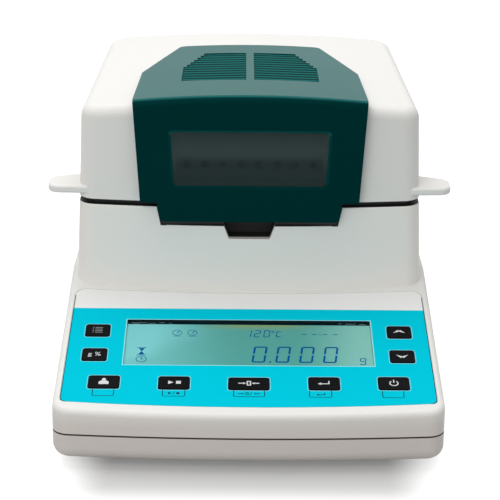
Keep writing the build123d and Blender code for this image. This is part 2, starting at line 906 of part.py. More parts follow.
# Steel well with a flange on the deck
with BuildPart() as chamber_liner:
    with BuildSketch(Plane.XZ):
        with BuildLine():
            Polyline(
                (spindle_radius + spindle_clearance, well_floor - liner_wall),
                (well_radius + liner_wall, well_floor - liner_wall),
                (well_radius + liner_wall, tower_top), (well_radius + liner_flange, tower_top),
                (well_radius + liner_flange, tower_top + liner_wall), (well_radius, tower_top + liner_wall),
                (well_radius, well_floor), (spindle_radius + spindle_clearance, well_floor), close=True,
            )
        make_face()
    revolve(axis=Axis.Z)
chamber_liner.part.position = (0, chamber_y, 0)
save(chamber_liner.part, "chamber_liner")

# Draft shield ring on the well's floor
with BuildPart(Plane((0, chamber_y, well_floor))) as draft_ring:
    with BuildSketch(Plane((0, chamber_y, well_floor))):
        Circle(draft_ring_radius)
        Circle(draft_ring_radius - draft_ring_wall, mode=Mode.SUBTRACT)
    extrude(amount=draft_ring_height)
save(draft_ring.part, "draft_ring")

pan_foot = well_floor + draft_ring_height

# Pan support: three arms on a spindle
support_foot = pan_foot - support_arm_drop
spindle_foot = cell_top + weigh_travel + spindle_gap
with BuildPart() as pan_support:
    with BuildSketch(Plane((0, chamber_y, support_foot))):
        with PolarLocations(0, 3, start_angle=90):
            with Locations((support_arm_length / 2, 0)):
                RectangleRounded(support_arm_length, support_arm_width, support_arm_corner)
        Circle(support_hub_radius)
    extrude(amount=support_arm_thickness)
    with BuildSketch(Plane((0, chamber_y, spindle_foot))):
        Circle(spindle_radius)
    extrude(amount=support_foot - spindle_foot)
save(pan_support.part, "pan_support")

# Sample pan: shallow pressed dish with a flat rim
with BuildPart() as sample_pan:
    with BuildSketch(Plane.XZ):
        with BuildLine():
            Polyline(
                (0, pan_foot), (pan_radius, pan_foot), (pan_radius, pan_foot + pan_height - pan_wall),
                (pan_radius + pan_rim, pan_foot + pan_height - pan_wall),
                (pan_radius + pan_rim, pan_foot + pan_height),
                (pan_radius - pan_wall, pan_foot + pan_height), (pan_radius - pan_wall, pan_foot + pan_wall),
                (0, pan_foot + pan_wall), close=True,
            )
        make_face()
    revolve(axis=Axis.Z)
sample_pan.part.position = (0, chamber_y, 0)
save(sample_pan.part, "sample_pan")

# Pan handler: ring under the pan's rim with an upright grip
with BuildPart() as pan_handler:
    with BuildSketch(Plane((0, chamber_y, pan_foot))):
        Circle(handler_outer)
        Circle(handler_inner, mode=Mode.SUBTRACT)
    extrude(amount=handler_thickness)
    with BuildSketch(Plane((0, chamber_y, pan_foot + handler_thickness))):
        Circle(handler_outer)
        Circle(handler_outer - handler_tab_wall, mode=Mode.SUBTRACT)
        with Locations((0, -handler_outer)):
            Rectangle(handler_tab_width, handler_outer, mode=Mode.INTERSECT)
    extrude(amount=handler_tab_height)
save(pan_handler.part, "pan_handler")

# Load cell beam with its two flexure holes, on a bracket from the tray
with BuildPart() as load_cell:
    with BuildSketch(Plane.YZ.offset(-cell_width / 2)):
        with Locations(((cell_front_y + cell_rear_y) / 2, cell_top - cell_height / 2)):
            Rectangle(cell_rear_y - cell_front_y, cell_height)
            with Locations((-cell_hole_spread, 0), (cell_hole_spread, 0)):
                Circle(cell_hole_radius, mode=Mode.SUBTRACT)
            Rectangle(2 * cell_hole_spread, cell_slot_height, mode=Mode.SUBTRACT)
    extrude(amount=cell_width)
save(load_cell.part, "load_cell")

with BuildPart() as cell_bracket:
    with BuildSketch(Plane.XY.offset(tray_floor)):
        with Locations((0, cell_rear_y - bracket_column_inset)):
            Rectangle(*bracket_column)
    extrude(amount=cell_top - cell_height - tray_floor)
    with BuildSketch(Plane.XY.offset(tray_floor)):
        with Locations((0, cell_rear_y - bracket_plate_inset)):
            Rectangle(*bracket_plate[:2])
    extrude(amount=bracket_plate[2])
save(cell_bracket.part, "cell_bracket")

# Hinge brackets: arms from the slanted rear of the housing to the shaft
for side, x in (("left", -hinge_arm_x), ("right", hinge_arm_x)):
    with BuildPart() as hinge_bracket:
        with BuildSketch(Plane.YZ.offset(x - hinge_arm_width / 2)):
            with Locations((hinge_y, hinge_height)):
                Circle(hinge_eye_radius)
            with BuildLine():
                Polyline(
                    (hinge_y - hinge_eye_radius, hinge_height), (hinge_y + hinge_eye_radius, hinge_height),
                    (hinge_y + bracket_toe, slant_top_y + tower_top - hinge_y - bracket_toe),
                    (slant_top_y + bracket_heel, tower_top - bracket_heel), close=True,
                )
            make_face()
        extrude(amount=hinge_arm_width)
        with BuildSketch(Plane.YZ.offset(x - hinge_arm_width)):
            with Locations((hinge_y, hinge_height)):
                Circle(hinge_shaft_radius + hinge_running_gap)
        extrude(amount=2 * hinge_arm_width, mode=Mode.SUBTRACT)
    save(hinge_bracket.part, f"hinge_bracket_{side}")

# Lid shell: crowned cover with hinge knuckles, posts and openings
lid_outside = lid_form(0, lid_top_radius)
lid_inside = lid_form(lid_wall, 0)
vent_front_y = front_y + louvre_front - vent_margin
vent_rear_y = front_y + louvre_front + louvre_count * louvre_pitch + vent_margin
vent_half = louvre_half_width + vent_margin
vent_middle_y = (vent_front_y + vent_rear_y) / 2
window_sag = bow_sag(window_half_width_top, tower_bow_radius)
post_across, post_front, post_rear = lid_post_inset
lid_post_x = tower_width_top / 2 - post_across
lid_post_rows = (tower_front_y + post_front, liner_plate_rear - post_rear)
lid_posts = [(x, y) for x in (-lid_post_x, lid_post_x) for y in lid_post_rows]
slot_half = hinge_arm_width / 2 + hinge_side_gap
knuckle_foot = hinge_height - hinge_eye_radius + knuckle_lift
knuckle_rear_y = rear_y - lid_wall / 2

with BuildPart() as lid_shell:
    add(lid_outside)
    add(lid_inside, mode=Mode.SUBTRACT)
    for side in (-1, 1):
        inner = side * (hinge_arm_x + slot_half)
        with BuildSketch(Plane.YZ.offset(inner)):
            with Locations((hinge_y, hinge_height)):
                Circle(hinge_eye_radius)
            with BuildLine():
                Polyline(
                    (hinge_y, knuckle_foot), (knuckle_rear_y, knuckle_foot),
                    (knuckle_rear_y, hinge_height + hinge_eye_radius),
                    (hinge_y, hinge_height + hinge_eye_radius),
                    close=True,
                )
            make_face()
        extrude(amount=side * knuckle_width)
        with BuildSketch(Plane.YZ.offset(side * hinge_arm_x)):
            with BuildLine():
                Polyline(
                    (hinge_y - hinge_slot_reach, lid_foot - overrun), (rear_y + overrun, lid_foot - overrun),
                    (rear_y + overrun, hinge_height + hinge_slot_reach),
                    (hinge_y - hinge_slot_reach, hinge_height + hinge_slot_reach), close=True,
                )
            make_face()
        extrude(amount=slot_half, both=True, mode=Mode.SUBTRACT)
    with BuildSketch(Plane.XY.offset(liner_plate_top)):
        with Locations(*lid_posts):
            Circle(post_radius)
    extrude(until=Until.NEXT)
    with BuildSketch(Plane.YZ):
        with Locations((hinge_y, hinge_height)):
            Circle(hinge_shaft_radius)
    extrude(amount=hinge_shaft_length / 2, both=True, mode=Mode.SUBTRACT)
    with BuildSketch(Plane.XZ.offset(-tower_front_y - lid_wall - window_sag - overrun)):
        window_shape(-window_corner)
    extrude(amount=lid_wall + window_sag + 2 * overrun, mode=Mode.SUBTRACT)
    with BuildSketch(Plane.XY.offset(lid_top_front - lid_wall - lid_top_radius)):
        with Locations((0, vent_middle_y)):
            Rectangle(2 * vent_half, vent_rear_y - vent_front_y)
    extrude(amount=lid_wall + lid_top_radius + hood_lift, mode=Mode.SUBTRACT)
save(lid_shell.part, "lid_shell")

# Ears: a flat grip with rounded edges on each side of the lid
ear_y = front_y + ear_setback
ear_root = lid_width_rear / 2 - lid_wall
ear_reach = lid_width_rear / 2 + ear_length
with BuildPart() as lid_ears:
    for side in (-1, 1):
        with BuildSketch(Plane.XY.offset(lid_foot + ear_rise)):
            with BuildLine():
                Polyline(
                    (side * ear_root, ear_y), (side * ear_reach, ear_y + ear_sweep),
                    (side * ear_reach, ear_y + ear_tip_depth), (side * ear_root, ear_y + ear_root_depth),
                    close=True,
                )
            make_face()
            fillet(vertices().sort_by(lambda vertex: abs(vertex.X))[-2:], ear_corner)
        extrude(amount=ear_thickness)
    fillet(lid_ears.faces().filter_by(Axis.Z).edges(), ear_edge)
    add(lid_outside, mode=Mode.SUBTRACT)
save(lid_ears.part, "lid_ears")

# Hinge shaft
with BuildPart() as hinge_shaft:
    with BuildSketch(Plane.YZ):
        with Locations((hinge_y, hinge_height)):
            Circle(hinge_shaft_radius)
    extrude(amount=hinge_shaft_length / 2, both=True)
save(hinge_shaft.part, "hinge_shaft")

# Thick stretch of the hood that stands in the lid's vent and carries the louvre blades
with BuildPart() as louvre_block:
    with BuildSketch(Plane.XY.offset(window_top)):
        with Locations((0, vent_middle_y)):
            Rectangle(2 * (vent_half - vent_clearance), vent_rear_y - vent_front_y - 2 * vent_clearance)
    extrude(amount=hood_top_front - window_top)
    add(hood_crown(overrun), mode=Mode.INTERSECT)
    add(hood_crown(louvre_body), mode=Mode.SUBTRACT)


# Height of the hood's crown over its middle line
def crown_height(place):
    return hood_top_front - tan(radians(hood_top_slope)) * (place - tower_front_y)


# Hood: folded crowned cover with a pull tab, window opening and louvres
hood_shoulder_y = front_y + hood_shoulder
hood_rear_y = front_y + hood_rear
hood_shoulder_half = hood_half_width_front - hood_draw_in

with BuildPart() as hood:
    with BuildSketch(Plane.XY.offset(hood_foot)):
        with BuildLine():
            Polyline(
                (-hood_half_width_front, hood_face_y), (hood_half_width_front, hood_face_y),
                (hood_shoulder_half, hood_shoulder_y), (hood_half_width_rear, hood_rear_y),
                (-hood_half_width_rear, hood_rear_y), (-hood_shoulder_half, hood_shoulder_y), close=True,
            )
        make_face()
        fillet(vertices().group_by(Axis.Y)[-1], hood_corner)
    extrude(amount=hood_top_front)
    with BuildSketch(Plane.XZ.offset(-rear_y)):
        with BuildLine():
            Polyline(
                (-hood_half_width_foot, hood_foot), (hood_half_width_foot, hood_foot),
                (hood_half_width_front, hood_top_front), (-hood_half_width_front, hood_top_front),
                close=True,
            )
        make_face()
    extrude(amount=body_depth, mode=Mode.INTERSECT)
    add(hood_crown(0), mode=Mode.INTERSECT)
    fold = hood.edges().filter_by(lambda edge: abs(edge.center().Y - hood_face_y) < 0.5)
    fillet(fold.sort_by(Axis.Z)[-1], hood_fold_radius)
    add(lid_outside, mode=Mode.SUBTRACT)
    with BuildSketch(Plane.XZ.offset(-tower_front_y)):
        with BuildLine():
            Polyline(
                (-tab_half_width_foot, tab_foot), (tab_half_width_foot, tab_foot),
                (tab_half_width_top, hood_foot + tab_overlap),
                (-tab_half_width_top, hood_foot + tab_overlap), close=True,
            )
        make_face()
        fillet(vertices().group_by(Axis.Y)[0], tab_corner)
    extrude(amount=tab_thickness)
    add(louvre_block.part)
    with BuildSketch(Plane.XZ.offset(-hood_face_y)):
        window_shape(window_bevel)
    with BuildSketch(Plane.XZ.offset(-hood_face_y - window_bevel)):
        window_shape(0)
    loft(mode=Mode.SUBTRACT)
    with BuildSketch(Plane.XZ.offset(-hood_face_y)):
        window_shape(0)
    extrude(amount=-tab_thickness - window_sag - overrun, mode=Mode.SUBTRACT)
    with BuildSketch(Plane.XZ.offset(-hood_face_y - window_bevel)):
        window_shape(glass_lap)
    extrude(amount=-tab_thickness - window_sag - overrun, mode=Mode.SUBTRACT)
    for row in range(louvre_count):
        slot_y = front_y + louvre_front + row * louvre_pitch
        blade_y = slot_y + louvre_slot
        top_y = slot_y + louvre_pitch
        top = crown_height(top_y) - louvre_sink
        length = louvre_reach(row) - louvre_rib / 2
        fall = bow_sag(louvre_half_width, hood_crown_radius) / louvre_half_width
        for side in (-1, 1):
            with BuildSketch(Plane.YZ.offset(side * louvre_rib / 2)):
                with BuildLine():
                    Polyline(
                        (slot_y, top + hood_lift), (slot_y, top - 2 * louvre_body),
                        (blade_y, top - 2 * louvre_body),
                        (blade_y, top - louvre_drop), (top_y, top), (top_y, top + hood_lift), close=True,
                    )
                make_face()
            extrude(amount=length, dir=(side, 0, -fall), mode=Mode.SUBTRACT)
save(hood.part, "hood")

# Window glass behind the hood's bevelled opening
with BuildPart() as window_glass:
    with BuildSketch(Plane.XZ.offset(-hood_face_y - window_bevel)):
        window_shape(glass_lap - glass_fit)
    extrude(amount=-glass_thickness)
save(window_glass.part, "window_glass")

# Plate that closes the lid's underside round the lamp
plate_margin = lid_wall + liner_plate_clearance
plate_share = (liner_plate_rear - tower_front_y) / (rear_y - tower_front_y)
plate_rear_width = tower_width_top + plate_share * (lid_width_rear - tower_width_top)
with BuildPart() as lid_liner:
    with BuildSketch(Plane.XY.offset(liner_plate_foot)):
        bowed_outline(
            tower_width_top / 2 - plate_margin, plate_rear_width / 2 - plate_margin,
            tower_front_y + plate_margin, liner_plate_rear, tower_bow_radius, *liner_corners,
        )
        with Locations((0, chamber_y)):
            Circle(well_radius, mode=Mode.SUBTRACT)
        with Locations(*lid_posts):
            Circle(liner_screw_radius, mode=Mode.SUBTRACT)
    extrude(amount=liner_plate_thickness)
save(lid_liner.part, "lid_liner")

with BuildPart() as liner_screws:
    for x, y in lid_posts:
        with BuildSketch(Plane((x, y, liner_plate_foot - liner_screw_head))):
            Circle(liner_screw_head_radius)
        extrude(amount=liner_screw_head)
        with BuildSketch(Plane((x, y, liner_plate_foot))):
            Circle(liner_screw_radius)
        extrude(amount=liner_plate_thickness)
save(liner_screws.part, "liner_screws")

# Heat-resistant glass over the opening, held by a ring inside the reflector
with BuildPart() as lamp_glass:
    with BuildSketch(Plane((0, chamber_y, liner_plate_top))):
        Circle(lid_glass_radius)
    extrude(amount=lid_glass_thickness)
    chamfer(lamp_glass.edges(), lid_glass_edge)
save(lamp_glass.part, "lamp_glass")

with BuildPart() as glass_retainer:
    with BuildSketch(Plane((0, chamber_y, liner_plate_top + lid_glass_thickness))):
        Circle(reflector_radius)
        Circle(reflector_radius - retainer_width, mode=Mode.SUBTRACT)
    extrude(amount=retainer_thickness)
save(glass_retainer.part, "glass_retainer")

# Pressed reflector that hangs over the lamp
reflector_top = liner_plate_top + reflector_height
cone_foot = reflector_top - reflector_shoulder
cone_top = reflector_radius - reflector_cone
lamp_ends = [90 + side * lamp_gap_angle / 2 for side in (-1, 1)]
with BuildPart() as reflector:
    with BuildSketch(Plane.XZ):
        with BuildLine():
            Polyline(
                (reflector_radius + reflector_flange, liner_plate_top),
                (reflector_radius + reflector_flange, liner_plate_top + reflector_wall),
                (reflector_radius + reflector_wall, liner_plate_top + reflector_wall),
                (reflector_radius + reflector_wall, cone_foot), (cone_top, reflector_top),
                (reflector_hole_radius, reflector_top),
                (reflector_hole_radius, reflector_top - reflector_wall),
                (cone_top - reflector_wall / 2, reflector_top - reflector_wall),
                (reflector_radius, cone_foot - reflector_wall / 2), (reflector_radius, liner_plate_top),
                close=True,
            )
        make_face()
    revolve(axis=Axis.Z)
    with BuildSketch(Plane.XY.offset(cone_foot)):
        for turn in lamp_ends:
            with Locations((lamp_radius * cos(radians(turn)), lamp_radius * sin(radians(turn)))):
                Circle(lamp_tube + lamp_clearance)
    extrude(amount=reflector_shoulder + overrun, mode=Mode.SUBTRACT)
reflector.part.position = (0, chamber_y, 0)
save(reflector.part, "reflector")

# Ring lamp: glass tube bent round, its ends turned up through the reflector
lamp_height = liner_plate_foot + lamp_rise
lamp_arc = 360 - lamp_gap_angle
with BuildPart() as halogen_lamp:
    with BuildSketch(Plane.XZ):
        with Locations((lamp_radius, lamp_height)):
            RegularPolygon(lamp_tube, lamp_tube_sides)
    revolve(axis=Axis.Z, revolution_arc=lamp_arc)
    for turn in (0, lamp_arc):
        end = (lamp_radius * cos(radians(turn)), lamp_radius * sin(radians(turn)))
        with BuildSketch(Plane.XY.offset(lamp_height - lamp_tube)):
            with Locations(end):
                RegularPolygon(lamp_tube, lamp_tube_sides)
        extrude(amount=reflector_height + lamp_end_rise - lamp_rise + liner_plate_thickness + lamp_tube)
halogen_lamp.part.orientation = (0, 0, 90 + lamp_gap_angle / 2)
halogen_lamp.part.position = (0, chamber_y, 0)
save(halogen_lamp.part, "halogen_lamp")

# Ceramic holders over the lamp's ends
holder_length, holder_width, holder_height = lamp_holder_size
with BuildPart() as lamp_holders:
    for turn in lamp_ends:
        place = Plane((
            lamp_radius * cos(radians(turn)), chamber_y + lamp_radius * sin(radians(turn)), reflector_top,
        ))
        with BuildSketch(place):
            RectangleRounded(holder_length, holder_width, lamp_holder_corner)
        extrude(amount=holder_height)
        with BuildSketch(place):
            Circle(lamp_tube)
        extrude(amount=lamp_end_rise, mode=Mode.SUBTRACT)
save(lamp_holders.part, "lamp_holders")

# Folded heat shield round the reflector, with air holes in its front wall
shield_front = tower_front_y + shield_setback
shield_rear = liner_plate_rear - shield_rear_gap
shield_depth = shield_rear - shield_front
shield_half_width = reflector_radius + reflector_flange + shield_side_gap
with BuildPart() as heat_shield:
    with BuildSketch(Plane.XY.offset(liner_plate_top)):
        with Locations((0, shield_front + shield_depth / 2)):
            Rectangle(2 * shield_half_width, shield_depth)
            Rectangle(
                2 * (shield_half_width - shield_wall), shield_depth - 2 * shield_wall,
                mode=Mode.SUBTRACT,
            )
    extrude(amount=shield_height)
    with BuildSketch(Plane.XZ.offset(-shield_front - shield_wall - overrun)):
        with Locations((0, window_foot + shield_hole_rise)):
            with GridLocations(shield_hole_pitch, 0, shield_hole_count, 1):
                Circle(shield_hole_radius)
    extrude(amount=shield_wall + 2 * overrun, mode=Mode.SUBTRACT)
save(heat_shield.part, "heat_shield")

# Temperature sensor: thin bent tube that reaches over the pan
sensor_root = chamber_y + well_radius
sensor_top = liner_plate_foot - sensor_radius
sensor_height = liner_plate_foot - sensor_drop
with BuildPart() as temperature_sensor:
    with BuildLine(Plane.YZ) as route:
        FilletPolyline(
            (sensor_root + sensor_hold, sensor_top), (sensor_root - sensor_step[0], sensor_top),
            (sensor_root - sensor_step[1], sensor_height), (sensor_root - sensor_reach, sensor_height),
            radius=sensor_bend,
        )
    with BuildSketch(Plane(route.wire() @ 0, z_dir=route.wire() % 0)):
        Circle(sensor_radius)
    sweep()
save(temperature_sensor.part, "temperature_sensor")
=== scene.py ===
import bpy
import json
import math
from mathutils import Euler, Matrix, Vector


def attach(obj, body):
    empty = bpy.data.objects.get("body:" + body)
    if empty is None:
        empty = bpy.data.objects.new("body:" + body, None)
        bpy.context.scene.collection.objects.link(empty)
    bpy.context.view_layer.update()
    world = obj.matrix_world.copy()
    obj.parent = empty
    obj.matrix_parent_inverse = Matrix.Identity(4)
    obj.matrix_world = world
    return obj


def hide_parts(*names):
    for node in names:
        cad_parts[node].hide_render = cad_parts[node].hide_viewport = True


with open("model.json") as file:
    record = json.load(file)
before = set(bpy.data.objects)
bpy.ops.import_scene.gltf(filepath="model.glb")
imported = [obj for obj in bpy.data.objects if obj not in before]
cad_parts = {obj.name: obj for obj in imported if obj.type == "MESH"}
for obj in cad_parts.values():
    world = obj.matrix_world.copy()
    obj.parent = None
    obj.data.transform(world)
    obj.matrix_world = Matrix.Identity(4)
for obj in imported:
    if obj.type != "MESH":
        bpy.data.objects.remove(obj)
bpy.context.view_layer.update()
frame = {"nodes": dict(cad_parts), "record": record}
cadNodes = frame["nodes"]
mm = 0.001
print("stage: frame loaded,", len(cadNodes), "nodes")


# shader nodes, and the effects that materials share, each built once

def startGroup(name, inputs, outputs):
    group = bpy.data.node_groups.new(name, "ShaderNodeTree")
    for label, kind, value in inputs:
        socket = group.interface.new_socket(label, in_out="INPUT", socket_type=kind)
        if value is not None:
            socket.default_value = value
    for label, kind in outputs:
        group.interface.new_socket(label, in_out="OUTPUT", socket_type=kind)
    return group, group.nodes.new("NodeGroupInput"), group.nodes.new("NodeGroupOutput")


def deselect():
    bpy.ops.object.select_all(action="DESELECT")


def fillSocket(tree, socket, value):
    if isinstance(value, bpy.types.NodeSocket):
        tree.links.new(value, socket)
    elif socket.type == "RGBA":
        socket.default_value = (*value, 1.0)
    else:
        socket.default_value = value


def mathNode(tree, operation, first, second=0.0, third=0.0, clamp=False):
    node = tree.nodes.new("ShaderNodeMath")
    node.operation = operation
    node.use_clamp = clamp
    for socket, value in zip(node.inputs, (first, second, third)):
        fillSocket(tree, socket, value)
    return node.outputs[0]


def plus(tree, first, second):
    return mathNode(tree, "ADD", first, second)


def minus(tree, first, second):
    return mathNode(tree, "SUBTRACT", first, second)


def times(tree, first, second, clamp=False):
    return mathNode(tree, "MULTIPLY", first, second, clamp=clamp)


def largest(tree, first, second):
    return mathNode(tree, "MAXIMUM", first, second)


def isOver(tree, value, limit):
    return mathNode(tree, "GREATER_THAN", value, limit)


def isUnder(tree, value, limit):
    return mathNode(tree, "LESS_THAN", value, limit)


def absolute(tree, value):
    return mathNode(tree, "ABSOLUTE", value)


def between(tree, value, low, high):
    return times(tree, isOver(tree, value, low), isUnder(tree, value, high))


# length of the line whose two square legs are given
def diagonal(tree, first, second):
    return mathNode(tree, "SQRT", plus(tree, times(tree, first, first), times(tree, second, second)))


# rises softly from 0 at low to 1 at high, or falls where low is the larger
def softStep(tree, value, low, high):
    node = tree.nodes.new("ShaderNodeMapRange")
    node.interpolation_type = "SMOOTHSTEP"
    tree.links.new(value, node.inputs["Value"])
    node.inputs["From Min"].default_value = low
    node.inputs["From Max"].default_value = high
    return node.outputs["Result"]


def splitPlace(tree, place):
    node = tree.nodes.new("ShaderNodeSeparateXYZ")
    tree.links.new(place, node.inputs[0])
    return node.outputs["X"], node.outputs["Y"], node.outputs["Z"]


# how far a place lies along a direction, from the origin
def along(tree, place, direction):
    node = tree.nodes.new("ShaderNodeVectorMath")
    node.operation = "DOT_PRODUCT"
    tree.links.new(place, node.inputs[0])
    node.inputs[1].default_value = direction
    return node.outputs["Value"]


def noiseNode(tree, vector, scale, detail=2.0, roughness=0.5):
    node = tree.nodes.new("ShaderNodeTexNoise")
    for label, value in (("Vector", vector), ("Scale", scale), ("Detail", detail), ("Roughness", roughness)):
        fillSocket(tree, node.inputs[label], value)
    return node.outputs["Fac"]


def mixColour(tree, amount, first, second):
    node = tree.nodes.new("ShaderNodeMix")
    node.data_type = "RGBA"
    for socket, value in ((node.inputs["Factor"], amount), (node.inputs[6], first), (node.inputs[7], second)):
        fillSocket(tree, socket, value)
    return node.outputs[2]


def buildMouldGrain():
    group, ins, outs = startGroup(
        "mouldGrain",
        [("Vector", "NodeSocketVector", None), ("Grain Scale", "NodeSocketFloat", 2600.0)],
        [("Mottle", "NodeSocketFloat"), ("Height", "NodeSocketFloat")],
    )
    grain = noiseNode(group, ins.outputs["Vector"], ins.outputs["Grain Scale"], 3.0, 0.6)
    cloud = noiseNode(group, ins.outputs["Vector"], 14.0, 2.0, 0.5)
    group.links.new(cloud, outs.inputs["Mottle"])
    group.links.new(grain, outs.inputs["Height"])
    return group


def buildBrushed():
    group, ins, outs = startGroup(
        "brushedLines",
        [("Vector", "NodeSocketVector", None), ("Stretch", "NodeSocketVector", (1.0, 60.0, 60.0))],
        [("Lines", "NodeSocketFloat")],
    )
    stretch = group.nodes.new("ShaderNodeVectorMath")
    stretch.operation = "MULTIPLY"
    group.links.new(ins.outputs["Vector"], stretch.inputs[0])
    group.links.new(ins.outputs["Stretch"], stretch.inputs[1])
    lines = noiseNode(group, stretch.outputs[0], 60.0, 4.0, 0.65)
    group.links.new(lines, outs.inputs["Lines"])
    return group


mouldGrain = buildMouldGrain()
brushedLines = buildBrushed()


def startMaterial(name):
    material = bpy.data.materials.new(name)
    material.use_nodes = True
    tree = material.node_tree
    shader = tree.nodes["Principled BSDF"]
    place = tree.nodes.new("ShaderNodeTexCoord").outputs["Object"]
    return material, tree, shader, place


def useGroup(tree, group, place, **values):
    node = tree.nodes.new("ShaderNodeGroup")
    node.node_tree = group
    tree.links.new(place, node.inputs["Vector"])
    for label, value in values.items():
        node.inputs[label.replace("_", " ")].default_value = value
    return node.outputs


def addBump(tree, shader, height, strength, distance):
    bump = tree.nodes.new("ShaderNodeBump")
    bump.inputs["Strength"].default_value = strength
    bump.inputs["Distance"].default_value = distance
    tree.links.new(height, bump.inputs["Height"])
    tree.links.new(bump.outputs["Normal"], shader.inputs["Normal"])


# roughness that wanders a little to both sides of its value
def varyRoughness(tree, shader, pattern, roughness, spread):
    varied = mathNode(tree, "MULTIPLY_ADD", pattern, spread, roughness - spread / 2)
    tree.links.new(varied, shader.inputs["Roughness"])


# node tree, object place and object normal of a material that is to be painted on
def painting(material):
    tree = material.node_tree
    coordinates = tree.nodes["Texture Coordinate"]
    return tree, coordinates.outputs["Object"], coordinates.outputs["Normal"]


# lays a colour over the material's own where the mask is 1
def paintOver(material, mask, colour):
    tree = material.node_tree
    base = tree.nodes["Principled BSDF"].inputs["Base Color"]
    tree.links.new(mixColour(tree, mask, base.links[0].from_socket, colour), base)


# moulded plastic, rubber or paint: two close colours in soft clouds, and a fine grain
def plastic(name, colour, shade, roughness, grainScale=2600.0, grainDepth=0.00006, specular=0.4):
    material, tree, shader, place = startMaterial(name)
    grain = useGroup(tree, mouldGrain, place, Grain_Scale=grainScale)
    tree.links.new(mixColour(tree, grain["Mottle"], colour, shade), shader.inputs["Base Color"])
    varyRoughness(tree, shader, grain["Mottle"], roughness, 0.08)
    shader.inputs["Specular IOR Level"].default_value = specular
    addBump(tree, shader, grain["Height"], 0.5, grainDepth)
    return material


# metal with fine lines, long along the axis whose stretch is small
def metal(name, colour, shade, roughness, stretch=(1.0, 60.0, 60.0), depth=0.00003):
    material, tree, shader, place = startMaterial(name)
    lines = useGroup(tree, brushedLines, place, Stretch=stretch)["Lines"]
    tree.links.new(mixColour(tree, lines, colour, shade), shader.inputs["Base Color"])
    shader.inputs["Metallic"].default_value = 1.0
    varyRoughness(tree, shader, lines, roughness, 0.2)
    addBump(tree, shader, lines, 0.4, depth)
    return material


# clear or smoked pane, seen through by its alpha
def clear(name, colour, alpha, roughness, specular=0.5):
    material, tree, shader, place = startMaterial(name)
    cloud = noiseNode(tree, place, 30.0)
    shade = tuple(value * 0.85 for value in colour)
    tree.links.new(mixColour(tree, cloud, colour, shade), shader.inputs["Base Color"])
    shader.inputs["Alpha"].default_value = alpha
    shader.inputs["Roughness"].default_value = roughness
    shader.inputs["Specular IOR Level"].default_value = specular
    return material


# control panel's plane: its slope in degrees, and lines across it in millimetres up from the overlay's foot

panelShape = {
    "slope": 12.31,
    "foot": (0.0, -158.0, 35.04),
    "stripFoot": 95.1,
    "barFoot": 81.1,
}
slopeAngle = math.radians(panelShape["slope"])
upSlope = Vector((0.0, math.cos(slopeAngle), math.sin(slopeAngle)))
panelFoot = Vector(panelShape["foot"]) * mm
panelMatrix = Matrix.Translation(panelFoot) @ Euler((slopeAngle, 0.0, 0.0)).to_matrix().to_4x4()


# how far a place lies up the slope from the overlay's foot
def upPanel(tree, place):
    return minus(tree, along(tree, place, upSlope), panelFoot.dot(upSlope))


# how far a place lies above the panel, square to it
def abovePanel(tree, place):
    normal = panelMatrix.to_3x3() @ Vector((0.0, 0.0, 1.0))
    return minus(tree, along(tree, place, normal), panelFoot.dot(normal))


# upper wall of the display's opening, where painted shade stands dark behind the cover
def openingWallShade(tree, place):
    wall = {"halfWidth": 69.7 * mm, "foot": 82.9 * mm, "top": 83.9 * mm, "depth": 0.03 * mm}
    inside = isUnder(tree, absolute(tree, splitPlace(tree, place)[0]), wall["halfWidth"])
    sunk = isUnder(tree, abovePanel(tree, place), -wall["depth"])
    level = between(tree, upPanel(tree, place), wall["foot"], wall["top"])
    return times(tree, times(tree, inside, sunk), level)


# upper base: moulded plastic that warms towards the table, dark along the parting line
def baseHousing():
    look = {
        "colour": (0.80, 0.79, 0.76),
        "shade": (0.78, 0.77, 0.74),
        "roughness": 0.46,
        "warm": (0.66, 0.62, 0.58),
        "warmAt": 24.0 * mm,
        "plainAt": 36.0 * mm,
        "seam": (0.11, 0.085, 0.065),
        "parting": 20.48 * mm,
        # painted shade for the upper wall of the display's opening
        "wall": (0.002, 0.01, 0.014),
    }
    material = plastic("baseHousing", look["colour"], look["shade"], look["roughness"])
    tree, place, _ = painting(material)
    height = splitPlace(tree, place)[2]
    paintOver(material, softStep(tree, height, look["plainAt"], look["warmAt"]), look["warm"])
    paintOver(material, isUnder(tree, height, look["parting"]), look["seam"])
    # painted shade, near black, on the upper wall of the display's opening
    paintOver(material, openingWallShade(tree, place), look["wall"])
    return material


